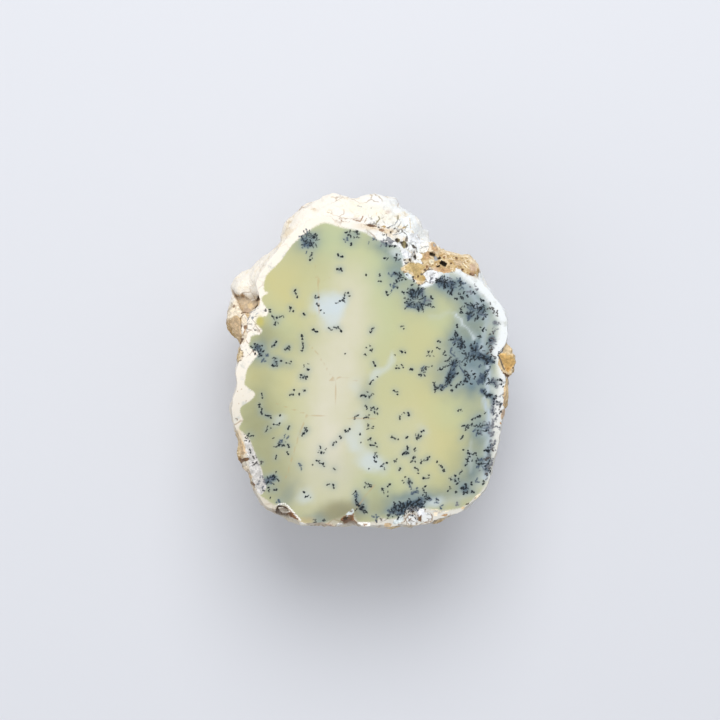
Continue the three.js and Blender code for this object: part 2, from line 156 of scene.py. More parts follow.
GREY_MOSS: list[Blob] = [
    (4.3, 28.6, 1.9, 1.0, 10), (24.3, 16.9, 1.2, 1.4, -45), (30.0, -9.0, 1.0, 1.4, -15),
    (29.0, -12.9, 1.2, 1.7, 0), (29.3, -16.0, 1.7, 1.7, 0), (28.3, -18.1, 1.0, 1.2, 0),
    (26.9, -25.5, 1.4, 1.2, 0), (20.5, -34.3, 0.7, 0.7, 0), (-26.0, -28.8, 1.2, 1.4, 0),
    (30.0, -5.4, 0.7, 1.2, 20), (29.6, -10.8, 0.8, 1.0, 0), (29.4, -20.0, 0.9, 1.6, 0),
    (29.2, 4.4, 0.9, 1.6, 15), (29.6, 8.2, 0.7, 1.4, 0), (28.4, -23.4, 0.8, 1.6, 10),
    (2.9, 28.1, 0.7, 1.0, 0), (14.0, 19.3, 1.0, 0.7, 0), (29.9, 9.4, 0.7, 1.1, 0), (28.1, -15.3, 0.9, 0.9, 0),
]
RUSTY_MOSS: list[Blob] = [
    (28.8, 13.1, 1.0, 0.7, 0), (29.5, 11.2, 0.5, 1.0, 0), (29.0, 6.0, 1.0, 1.2, 30),
    (30.0, 1.2, 1.0, 0.8, 20), (28.1, 2.4, 1.0, 1.2, 0), (31.0, -11.0, 0.5, 1.4, -10),
    (29.0, -20.7, 0.7, 1.0, 0), (28.1, -24.5, 1.2, 1.9, 15), (27.6, -27.4, 0.7, 1.2, 0),
    (10.2, -35.2, 1.4, 0.7, 0), (-27.1, -23.8, 1.2, 1.4, -20),
]

# Single flecks and short strands of dendrite, each a line of one to four points.
STRANDS: list[list[Point]] = [
    [(-14.0, 25.7), (-14.0, 24.5)], [(-14.5, 24.0)], [(-4.8, 28.1), (-4.8, 27.6)],
    [(-7.9, 25.2), (-6.9, 24.8)], [(-7.9, 21.9), (-7.1, 21.9), (-6.9, 21.4)], [(-1.2, 20.5)],
    [(2.1, 20.7), (2.1, 20.2)], [(1.9, 19.0), (2.4, 19.0)], [(-18.1, 16.9), (-17.9, 16.0)],
    [(-17.6, 15.2)], [(-19.3, 12.9), (-18.6, 11.9)], [(-16.0, 11.2), (-15.7, 11.0)],
    [(-13.3, 15.5), (-12.9, 15.0), (-12.4, 15.2)], [(-12.9, 13.6), (-12.4, 13.1)],
    [(-11.9, 12.1)], [(-11.2, 11.4)], [(-8.3, 13.8), (-7.4, 14.3)], [(-6.4, 15.0), (-5.5, 16.2)],
    [(-6.7, 14.5), (-6.2, 14.0)], [(-5.0, 15.5)], [(-10.0, 7.9), (-9.5, 7.4)],
    [(-8.8, 8.1), (-7.9, 8.1), (-7.1, 7.1)], [(-23.6, 10.7), (-22.4, 10.2), (-20.7, 10.5)],
    [(-22.9, 8.6), (-22.1, 9.0)], [(-13.8, 7.4), (-12.9, 6.9)], [(-16.4, 6.0), (-16.4, 5.2)],
    [(-16.2, 4.3), (-16.2, 3.8)], [(-16.2, 3.1), (-16.4, 2.4)],
    [(-0.2, 6.7), (0.2, 7.6), (0.7, 7.9)], [(-22.6, 4.5), (-22.9, 3.8), (-23.6, 3.3)],
    [(-19.5, 3.6), (-19.5, 2.9)], [(-20.5, 2.6), (-20.0, 3.1)],
    [(-23.3, 0.7), (-22.6, -0.2), (-22.4, -1.2)], [(-23.6, -1.0), (-23.1, -1.2)],
    [(-21.4, 0.0)], [(-20.2, -0.5), (-19.0, -0.2)], [(-16.0, -1.2)], [(-15.0, -0.7)],
    [(-15.2, -1.9), (-14.8, -2.1)], [(-16.7, -3.3)], [(-16.2, -3.8), (-15.2, -3.8)],
    [(-15.5, -4.3)], [(-16.9, -4.0)], [(-26.0, -7.9), (-25.7, -8.8)], [(-18.3, -6.9)],
    [(-19.3, -8.1), (-18.6, -7.9)], [(-17.1, -7.9)], [(-16.0, -7.1), (-15.7, -7.1)],
    [(-26.4, -10.2), (-26.4, -11.0)], [(-26.0, -11.4), (-26.0, -12.4)],
    [(-25.2, -12.9), (-23.8, -13.6)], [(-21.7, -13.1)], [(-23.1, -15.2), (-21.7, -14.8)],
    [(-25.0, -16.7), (-23.8, -16.0)], [(-19.5, -15.5), (-19.8, -16.2)], [(-23.1, -18.3)],
    [(-20.0, -21.7), (-19.8, -22.1)], [(-22.6, -22.6), (-22.6, -23.3)],
    [(-28.8, -21.2), (-28.6, -21.9)], [(-14.0, -24.8)], [(-12.9, -23.8), (-12.1, -24.3)],
    [(-11.4, -24.5), (-11.2, -25.0)], [(-8.8, -25.7), (-8.6, -26.0)],
    [(-9.0, -20.0), (-8.3, -19.3)], [(-7.4, -17.9), (-7.1, -18.3)],
    [(-6.2, -16.7), (-5.5, -16.7), (-5.0, -16.2)], [(-3.1, -12.9), (-3.8, -13.8)],
    [(-2.6, -17.4)], [(-2.4, -19.3)], [(-6.2, 1.7)], [(-1.0, 3.1)], [(-0.2, 3.6)],
    [(0.0, 2.4), (0.5, 2.9)], [(-1.4, 1.7), (-1.2, 1.4)], [(0.5, -0.2), (1.0, -1.0)],
    [(1.7, -3.8)], [(-0.2, -5.5), (0.0, -5.0)], [(0.5, -4.5)], [(-2.4, -8.3), (-1.9, -8.1)],
    [(-1.7, -13.6), (-0.5, -12.9)], [(-0.7, -18.8), (0.0, -18.3)],
    [(-0.2, -20.0), (1.0, -19.5)], [(1.4, -20.5)], [(1.0, -21.9), (0.7, -22.9), (1.2, -24.0)],
    [(1.4, -22.6)], [(-0.5, -25.7)], [(-22.6, -26.4)], [(-23.1, -30.7), (-22.4, -30.7)],
    [(-24.0, -32.6)], [(-16.0, -31.2)], [(-15.7, -32.4), (-14.5, -32.6)],
    [(-10.5, -29.5), (-10.0, -29.3)], [(-9.0, -29.5), (-8.8, -30.2)],
    [(-2.4, -35.2), (-1.0, -36.0)], [(2.6, -30.5), (4.0, -31.2)], [(4.0, -29.8), (4.5, -29.3)],
    [(4.0, -32.1)], [(16.0, 4.8), (16.4, 4.5)], [(15.7, 3.3), (16.4, 2.9)],
    [(17.6, 2.4), (17.6, 1.4)], [(7.1, 2.4), (7.4, 2.1)], [(8.1, 2.1)], [(5.7, 1.4)],
    [(20.7, -2.9), (20.5, -3.1)], [(14.5, -1.2)], [(9.8, -1.9), (9.3, -2.1)], [(6.0, -1.7)],
    [(6.2, -1.0)], [(6.7, -1.7)], [(7.4, -1.0)], [(7.6, -1.4)], [(5.5, -7.1), (6.2, -7.9)],
    [(15.0, -6.9), (15.5, -6.7)], [(16.0, -6.4), (16.4, -5.7)], [(15.0, -5.2)],
    [(20.2, -6.2), (21.0, -5.5)], [(21.4, -5.0), (21.9, -5.5)], [(22.1, -4.8), (22.6, -4.3)],
    [(24.8, -3.8)], [(30.7, -4.3), (31.2, -5.5)], [(24.0, -14.0), (24.8, -13.6)],
    [(25.5, -13.3), (26.0, -13.1)], [(27.1, -12.4)], [(20.7, -11.9), (21.4, -11.7)],
    [(21.4, -18.6), (21.9, -17.9)], [(24.0, -15.0)], [(21.9, -21.2)], [(23.1, -21.2)],
    [(23.1, -21.9), (23.3, -22.1)], [(23.1, -23.3), (22.6, -24.8)],
    [(11.9, -16.9), (12.6, -16.4)], [(5.0, -18.1), (6.4, -18.6)], [(6.9, -13.1), (6.9, -13.8)],
    [(7.9, -12.4)], [(8.8, -12.4), (9.0, -12.9)], [(8.3, -18.3), (8.8, -18.1)],
    [(7.6, -22.1), (8.8, -21.9)], [(10.5, -20.7), (10.5, -21.4)], [(5.5, -23.8), (6.2, -23.3)],
    [(11.9, -24.3), (12.6, -23.6)], [(13.3, -23.6), (14.0, -22.9)], [(2.4, -25.0), (3.8, -24.3)],
    [(6.9, -25.5), (6.7, -26.0)], [(10.5, -25.5), (11.2, -26.0)], [(11.2, -26.7)],
    [(12.4, -27.9), (13.8, -27.1)], [(9.3, -28.8), (9.8, -29.0)], [(21.0, -26.9), (21.7, -26.2)],
    [(20.0, -27.4)], [(18.3, -31.0), (18.8, -30.0)], [(20.2, -31.2), (20.5, -31.4)],
    [(24.0, -29.0)], [(24.0, -31.2), (24.5, -31.2)], [(12.9, -29.8), (12.4, -30.7), (12.4, -31.9)],
    [(3.3, 24.5), (4.0, 24.5)], [(3.6, 16.4), (4.0, 15.7)], [(7.4, 16.4), (7.9, 16.2)],
    [(10.2, 16.7)], [(14.3, 15.2), (14.5, 14.8)], [(14.0, 13.6), (15.0, 12.9)],
    [(10.0, 20.0), (10.2, 19.0)], [(11.4, 18.1)], [(22.9, 15.5), (23.1, 15.2)],
    [(20.5, 8.6), (20.5, 8.1)], [(20.0, 7.1), (20.5, 6.2)], [(7.1, 8.1), (7.9, 7.6)],
    [(24.8, 16.0), (24.3, 16.4)], [(26.0, 14.8), (26.7, 14.3)], [(3.1, -24.5)],
    [(26.9, -28.6), (26.7, -29.3)], [(28.6, -20.0), (29.3, -19.8)], [(15.5, -33.1), (16.0, -33.1)],
    [(-24.5, -13.1)], [(-19.8, -19.8), (-19.5, -20.5)], [(15.7, -24.0)],
    [(3.6, 28.1), (4.5, 27.4), (5.7, 27.4)], [(30.1, -4.5), (30.9, -4.6), (31.4, -6.1)],
    [(29.9, -8.3), (29.4, -9.0), (29.2, -10.3)], [(29.9, -9.7), (30.9, -10.2)],
    [(28.3, -23.7), (27.8, -24.4), (27.3, -25.0), (27.9, -26.1)], [(28.4, -26.1), (27.8, -27.2)],
    [(25.6, -24.6), (26.3, -24.4), (27.3, -25.0)], [(27.8, -20.6), (27.6, -21.4), (28.3, -21.2)],
    [(22.6, -29.3), (22.0, -30.2), (21.5, -30.5)], [(24.1, -31.2)], [(22.1, -31.7)], [(23.9, -29.4)],
    [(28.9, -11.7), (29.3, -12.6)],
    [(26.7, -7.1), (27.4, -8.3), (28.5, -8.3)], [(-3.7, -31.0), (-3.6, -33.0), (-3.3, -34.3)],
    [(-2.9, -34.6), (-1.4, -35.7)], [(25.5, 0.9), (26.7, 0.7), (27.6, 0.5), (29.3, -0.2)],
    [(16.9, -6.2), (18.3, -4.3), (19.5, -3.6)], [(15.0, -5.7), (16.7, -6.9)], [(22.3, -2.4), (24.6, -4.2)],
]

# Faint cracks in the opal.
OPAL_CRACKS: list[list[Point]] = [
    [(-6.9, -4.0), (-5.0, -4.2), (-2.6, -5.1)], [(-10.0, -4.6), (-8.6, -4.4), (-7.1, -3.6)],
    [(-8.6, -4.5), (-8.5, -8.1), (-8.6, -13.1)], [(-23.3, -9.8), (-15.5, -12.9), (-9.8, -13.3), (1.2, -14.0)],
    [(-13.1, 19.8), (-11.4, 19.3), (-9.8, 19.8)], [(-15.0, 4.5), (-12.4, 1.2), (-8.6, -4.5)],
    [(-15.5, -13.1), (-17.4, -18.6), (-20.5, -28.1)], [(1.2, -29.3), (-1.7, -32.6), (-3.8, -35.5)],
    [(-12.2, 10.5), (-12.4, 18.0), (-13.3, 23.0)],
]

# Round knobs of white opal in the rind: middle and radius.
KNOBS: list[tuple[float, float, float]] = [
    (11.5, 24.95, 0.8), (14.4, 20.2, 1.7), (9.9, -37.8, 1.4), (13.3, -37.2, 1.3), (-20.6, -36.0, 0.9),
]

# Host rock in the rind: middle, depth below the face and half sizes.
HOST_PATCHES: list[tuple[float, float, float, float, float, float]] = [
    (20.4, 24.9, 5.0, 7.4, 3.4, 8.0), (14.6, 25.6, 3.0, 2.9, 3.8, 4.4), (23.8, 22.2, 3.0, 2.8, 2.2, 5.0),
    (11.2, 21.6, 0.0, 3.4, 2.2, 3.0), (11.9, 20.0, 0.0, 1.3, 1.8, 2.0), (17.4, 22.9, 1.6, 4.0, 1.9, 3.4),
    (-32.4, 8.6, 6.0, 2.8, 5.6, 7.0), (-31.4, 1.2, 2.4, 0.9, 2.2, 3.4),
    (-32.0, -22.6, 3.0, 1.3, 5.0, 3.6), (-29.4, -30.6, 3.4, 1.0, 3.4, 3.6),
    (33.4, 0.0, 4.0, 3.0, 4.8, 6.0), (32.9, -9.4, 3.0, 1.6, 6.6, 5.0),
    (-12.0, -41.2, 5.0, 6.0, 1.9, 4.6), (5.0, -41.4, 5.0, 7.0, 2.0, 4.6), (19.0, -38.6, 4.0, 5.0, 1.7, 4.0),
]

# Where the rind is broken into crumbs: middle, depth below the face and half sizes.
CRUMBLES: list[tuple[float, float, float, float, float, float]] = [
    (3.6, 32.4, 2.0, 6.4, 2.6, 6.0), (9.0, 27.2, 1.5, 4.0, 3.6, 5.0), (12.6, 23.8, 0.0, 2.0, 2.0, 2.0),
    (-28.6, 9.0, 0.5, 2.4, 4.4, 3.0), (8.4, -37.8, 1.0, 6.4, 2.2, 4.0), (15.0, -37.2, 1.0, 5.0, 1.6, 3.0),
    (-30.0, -24.0, 1.0, 2.4, 9.0, 4.0), (-9.0, -39.6, 1.0, 9.0, 1.6, 4.0),
    (29.8, 0.6, 0.0, 1.4, 1.4, 2.0), (-20.0, -36.4, 1.0, 5.0, 1.8, 4.0), (-5.0, -38.0, 1.0, 2.4, 1.8, 4.0),
]


class Tint(Enum):
    """Colours of single spots on the stone, as sRGB hex codes."""

    SNOW = "F6F4EC"
    MIST = "CFD7D6"
    GREY = "9A9C9E"
    STRAW = "EEE3C6"
    SAND = "D6C09A"
    TAN = "B8946C"
    OCHRE = "B2945C"
    ROSE = "C3A694"
    RUST = "86623F"
    BROWN = "6E5238"
    DARK = "3A2C1C"
    NIGHT = "17120D"
    LIME = "BDB45E"
    EARTH = "8F8A68"
    PEARL = "E8EAEC"
    CREAM = "F0E2CA"
    BUFF = "DCC298"
    WHEAT = "C4AC78"
    FAWN = "B7A088"
    CLAY = "A08064"
    OLIVE = "85794A"
    SMOKE = "68625A"
    # Painted light: a near-white that brightens the top lump's steep flank, which lies in shade.
    PAINTED_FLANK_LIGHT = "FAF7F0"
    HONEY = "E0BA78"
    DUNE = "D3B892"
    DRAB = "C6AE8C"
    UMBER = "80593A"
    PEACH = "C6A47C"
    ASH = "D2CFCA"
    IVORY = "FCF4E4"


# Soft spots as seen from above: middle, half sizes, turn, soft edge, strength and tint.
SPOTS: list[tuple[float, float, float, float, float, float, float, Tint]] = [
    # hollow on the left and the lump of host rock below it
    # The GREY spots at (-27.3, 13.6) and (-32.6, 16.0) are painted shade: the hollow's dark right end, and
    # the shadow under the white overhang at its left.
    (-30.0, 13.9, 1.6, 0.9, -28, 0.6, 0.5, Tint.SAND), (-27.3, 13.6, 0.7, 0.8, -20, 0.4, 0.5, Tint.GREY),
    (-32.6, 16.0, 1.1, 0.5, -50, 0.4, 0.4, Tint.GREY), (-33.9, 12.0, 0.5, 1.8, -12, 0.5, 0.8, Tint.SNOW),
    (-33.0, 9.2, 0.6, 0.9, 0, 0.4, 0.6, Tint.CREAM), (-26.4, 9.5, 0.9, 1.1, 0, 0.6, 0.8, Tint.LIME),
    # rim down the left
    (-31.2, -20.0, 0.8, 3.4, 10, 0.4, 0.8, Tint.SAND), (-31.4, -24.0, 0.5, 1.0, 0, 0.3, 0.85, Tint.RUST),
    (-29.5, -26.4, 0.7, 1.4, 25, 0.3, 0.8, Tint.TAN), (-28.3, -29.3, 0.6, 1.4, 30, 0.3, 0.7, Tint.SAND),
    (-27.6, -27.6, 1.1, 2.8, 22, 0.8, 0.6, Tint.MIST), (-26.3, -34.6, 2.2, 0.5, -42, 0.3, 0.5, Tint.ROSE),
    # earthy opal and rind along the lower edge
    (-7.0, -36.0, 4.8, 2.6, 0, 1.6, 0.8, Tint.EARTH), (-15.4, -38.0, 2.0, 0.8, 5, 0.5, 0.5, Tint.WHEAT),
    (-11.6, -39.2, 2.6, 0.4, 0, 0.4, 0.6, Tint.TAN), (8.6, -39.4, 1.6, 0.3, 5, 0.3, 0.6, Tint.OCHRE),
    # broken rind beside the top lump
    (6.9, 25.6, 2.4, 1.3, -15, 0.6, 0.6, Tint.MIST), (5.4, 29.8, 2.2, 0.8, -25, 0.6, 0.5, Tint.CREAM),
    (4.5, 31.2, 1.6, 0.6, -5, 0.4, 0.5, Tint.BUFF), (9.0, 23.8, 1.2, 0.6, -10, 0.4, 0.5, Tint.WHEAT),
    # The SNOW spot at (12.9, 29.0) is painted light on the top lump's shaded steep flank.
    (8.2, 29.0, 0.6, 0.6, 0, 0.4, 0.7, Tint.SAND), (12.9, 29.0, 1.2, 2.6, 10, 0.8, 0.6, Tint.SNOW),
    # sandy ledge at the upper right
    (15.0, 27.0, 1.2, 1.2, 0, 0.6, 0.6, Tint.CREAM), (13.3, 24.7, 0.9, 0.8, 0, 0.4, 0.6, Tint.OCHRE),
    (24.4, 22.3, 0.8, 1.0, -30, 0.4, 0.7, Tint.ROSE), (24.1, 20.6, 1.5, 0.5, -25, 0.3, 0.7, Tint.OCHRE),
    (20.6, 26.0, 4.4, 0.6, -8, 0.5, 0.6, Tint.CREAM), (24.9, 23.6, 1.8, 0.5, -48, 0.4, 0.6, Tint.CREAM),
    (15.6, 21.8, 0.8, 0.4, 0, 0.3, 0.6, Tint.ROSE), (19.2, 23.0, 1.4, 0.8, 0, 0.6, 0.4, Tint.OCHRE),
    # crust down the right
    (33.2, -5.6, 0.6, 1.6, 0, 0.4, 0.8, Tint.SNOW), (32.8, 3.2, 0.7, 1.0, -20, 0.4, 0.6, Tint.BUFF),
    # warm tints on the top lumps
    (-2.1, 36.7, 3.8, 1.7, -10, 1.2, 0.5, Tint.STRAW), (3.3, 34.8, 3.2, 2.0, -25, 1.2, 0.45, Tint.STRAW),
    (2.4, 31.3, 2.4, 0.5, -12, 0.4, 0.5, Tint.BUFF), (-4.6, 38.2, 0.6, 0.3, -35, 0.3, 0.6, Tint.BUFF),
    (4.2, 35.75, 0.7, 0.4, 0, 0.3, 0.8, Tint.ROSE), (-20.0, 30.6, 1.5, 0.8, 45, 0.5, 0.6, Tint.SAND),
    (-13.6, 36.1, 0.8, 0.3, -30, 0.3, 0.5, Tint.OCHRE), (-30.0, 17.6, 0.6, 0.3, -30, 0.3, 0.5, Tint.SAND),
    (-1.2, 32.0, 2.4, 0.6, -5, 0.5, 0.5, Tint.BUFF), (-3.2, 33.8, 1.3, 0.5, -5, 0.4, 0.35, Tint.CLAY),
]

# The hollow at the left edge, the flat side of the lump below it and the chip at the right edge.
HOLLOW: list[Point] = [
    (-33.3, 17.4), (-32.5, 16.1), (-31.1, 15.7), (-30.8, 16.0), (-30.2, 15.6), (-29.6, 15.3), (-28.6, 14.5),
    (-27.7, 14.6), (-26.8, 15.6), (-26.4, 14.7), (-26.6, 13.2), (-27.7, 12.6), (-28.8, 11.8), (-29.2, 11.0),
    (-30.3, 11.4), (-30.8, 12.0), (-31.5, 12.9), (-32.1, 14.5), (-32.7, 15.3), (-33.5, 16.6),
]
LUMP_FACET: list[Point] = [
    (-32.5, 10.8), (-31.9, 10.6), (-31.2, 9.9), (-31.0, 9.1), (-31.1, 8.0), (-31.0, 7.0), (-31.0, 6.1),
    (-31.2, 5.3), (-31.5, 4.9), (-32.0, 5.9), (-32.8, 6.8), (-33.5, 8.2), (-33.7, 9.3), (-33.5, 10.0),
]
CHIP_FACET: list[Point] = [
    (30.9, 1.9), (31.8, 1.9), (33.8, 1.2), (34.5, -0.4), (33.8, -1.4), (32.9, -2.5), (32.3, -2.5),
    (31.4, -0.6), (30.9, 0.6), (30.3, 1.4),
]
# The smooth pearly lump beside the sandy ledge.
PEARL_LUMP: list[Point] = [
    (8.9, 30.0), (9.7, 30.6), (11.0, 30.5), (12.0, 29.4), (12.4, 28.0), (11.6, 27.0), (11.0, 27.2),
    (10.1, 28.3), (9.3, 28.4), (8.7, 29.1),
]
# Flat parts of the rough side: closed outline, and how far it is sunk below what lies round it.
FACETS: list[tuple[list[Point], float]] = [(HOLLOW, 1.7), (LUMP_FACET, 0.0), (CHIP_FACET, 0.0)]

# Plates of one colour as seen from above, each a closed outline.
PLATES: list[tuple[Tint, list[Point]]] = [
    # hollow and lump on the left
    (Tint.DRAB, HOLLOW),
    (Tint.CREAM, [(-32.5, 14.8), (-32.0, 14.1), (-31.3, 12.7), (-30.8, 11.8), (-30.4, 11.3),
        (-31.0, 10.7), (-31.3, 10.3), (-32.0, 10.9), (-32.7, 10.8), (-33.6, 10.2), (-34.3, 10.2),
        (-34.4, 11.4), (-33.8, 13.2), (-33.0, 14.3)]),
    (Tint.DUNE, LUMP_FACET),
    (Tint.CREAM, [(-30.8, 10.3), (-30.2, 11.0), (-29.7, 10.2), (-29.5, 9.1), (-29.6, 8.5), (-30.4, 8.4),
        (-30.9, 9.2)]),
    (Tint.BUFF, [(-30.1, 11.3), (-29.1, 11.4), (-28.9, 10.8), (-29.3, 10.2), (-29.7, 10.5)]),
    (Tint.CREAM, [(-30.8, 5.9), (-30.2, 6.8), (-29.7, 7.5), (-29.3, 6.4), (-30.0, 4.5), (-31.0, 4.1),
        (-31.2, 4.8)]),
    # crumbs, khaki fill and pearly crumb beside the top lump
    (Tint.PEARL, PEARL_LUMP),
    (Tint.SNOW, [(11.5, 26.0), (11.7, 27.4), (12.3, 28.6), (13.3, 28.8), (13.9, 28.1), (13.8, 27.1),
        (13.4, 26.2), (12.4, 25.7)]),
    (Tint.PEARL, [(6.9, 26.6), (8.0, 26.4), (9.3, 25.9), (9.9, 25.4), (9.3, 24.5), (8.0, 24.4),
        (7.4, 25.4)]),
    (Tint.WHEAT, [(8.0, 22.3), (9.0, 23.4), (10.3, 23.5), (11.4, 23.5), (13.1, 22.5), (12.4, 21.8),
        (12.0, 21.6), (12.3, 20.8), (12.9, 19.8), (12.9, 19.2), (12.3, 18.9), (11.0, 19.4), (10.2, 20.3),
        (10.1, 21.1), (8.4, 21.6)]),
    (Tint.PEARL, [(12.4, 20.8), (13.4, 21.6), (14.7, 21.8), (15.8, 21.3), (16.2, 20.4), (15.5, 19.4),
        (14.4, 18.5), (13.4, 19.2), (12.9, 20.0)]),
    (Tint.MIST, [(7.8, 20.8), (8.7, 21.1), (9.7, 20.4), (10.1, 19.3), (9.1, 19.4), (8.3, 20.0)]),
    # chip and crusts on the right
    (Tint.SAND, [(32.3, 4.6), (33.0, 3.7), (33.8, 1.4), (34.7, -0.4), (34.5, -1.2), (33.4, -3.5),
        (32.7, -3.9), (31.6, -3.0), (30.7, -1.7), (30.2, -0.8), (30.5, 1.4), (31.4, 2.1), (31.6, 3.2)]),
    (Tint.HONEY, CHIP_FACET),
    (Tint.BUFF, [(32.3, -4.3), (33.2, -4.3), (33.0, -7.2), (32.3, -9.9), (31.6, -10.8), (31.8, -9.0),
        (31.6, -6.5)]),
    (Tint.FAWN, [(31.4, -11.6), (32.1, -11.2), (32.0, -12.7), (31.0, -14.3), (30.9, -12.8)]),
    # pockets and crumbs along the lower edge
    (Tint.UMBER, [(-24.6, -35.8), (-22.6, -35.8), (-22.2, -34.5), (-20.5, -34.5), (-19.2, -35.4),
        (-17.8, -36.5), (-17.1, -37.5), (-17.3, -38.0), (-18.9, -37.2), (-20.6, -37.8), (-23.3, -37.8),
        (-24.1, -36.9)]),
    (Tint.UMBER, [(-7.3, -38.0), (-7.0, -37.3), (-6.0, -36.8), (-4.9, -36.6), (-4.2, -35.8),
        (-4.1, -37.7), (-3.2, -38.6), (-4.2, -39.3), (-5.3, -39.6), (-6.3, -39.3), (-6.7, -38.2)]),
    (Tint.DRAB, [(3.2, -38.6), (4.4, -38.5), (5.1, -38.9), (4.6, -39.5), (3.6, -39.7), (3.0, -39.2)]),
    (Tint.MIST, [(4.9, -38.9), (5.6, -37.9), (7.4, -36.7), (7.8, -37.5), (7.6, -38.2), (6.0, -38.9)]),
    (Tint.TAN, [(16.5, -36.9), (17.2, -36.5), (18.0, -36.3), (18.6, -36.5), (17.8, -37.0)]),
    # crust and grey rind down the lower left
    (Tint.ASH, [(-29.9, -18.4), (-28.9, -18.9), (-27.9, -21.3), (-26.9, -23.7), (-26.0, -26.1),
        (-25.5, -28.4), (-25.0, -29.6), (-25.2, -30.8), (-26.1, -31.9), (-27.1, -31.2), (-27.8, -29.6),
        (-28.4, -27.4), (-29.0, -25.4), (-29.2, -23.4), (-29.6, -21.8), (-30.0, -20.0)]),
    (Tint.DUNE, [(-31.3, -18.6), (-30.6, -19.0), (-29.9, -20.6), (-29.8, -22.0), (-30.6, -22.4),
        (-31.2, -21.6)]),
    (Tint.CREAM, [(-30.4, -25.0), (-29.6, -24.9), (-29.0, -25.6), (-29.1, -26.4), (-29.9, -26.5),
        (-30.5, -25.8)]),
    (Tint.BUFF, [(-29.9, -26.6), (-29.0, -26.7), (-28.3, -27.4), (-28.4, -28.2), (-29.2, -28.0)]),
    # pinkish, khaki and cream parts of the sandy ledge, and painted light on the shaded steep flank beside it
    (Tint.PAINTED_FLANK_LIGHT, [(10.2, 34.8), (11.6, 34.4), (13.0, 33.2), (14.4, 31.9), (15.2, 30.6), (15.2, 28.6),
        (13.9, 28.3), (13.2, 29.2), (12.9, 30.6), (12.2, 31.8), (11.0, 33.0)]),
    (Tint.PEACH, [(12.7, 25.6), (13.5, 26.2), (14.2, 26.0), (14.0, 25.0), (13.9, 24.3), (13.0, 24.1),
        (12.6, 24.8)]),
    (Tint.PEACH, [(14.3, 28.2), (15.2, 28.2), (16.0, 26.9), (16.2, 26.3), (15.3, 26.1), (14.4, 26.6)]),
    (Tint.PEACH, [(16.3, 21.8), (17.4, 22.1), (19.1, 21.9), (19.0, 21.1), (17.4, 20.9), (16.5, 21.2)]),
    (Tint.STRAW, [(13.9, 24.2), (14.8, 24.2), (15.1, 23.6), (14.4, 23.0), (13.8, 23.4)]),
    (Tint.DRAB, [(19.6, 24.0), (21.4, 24.2), (22.2, 23.4), (21.2, 22.6), (20.0, 22.9)]),
]

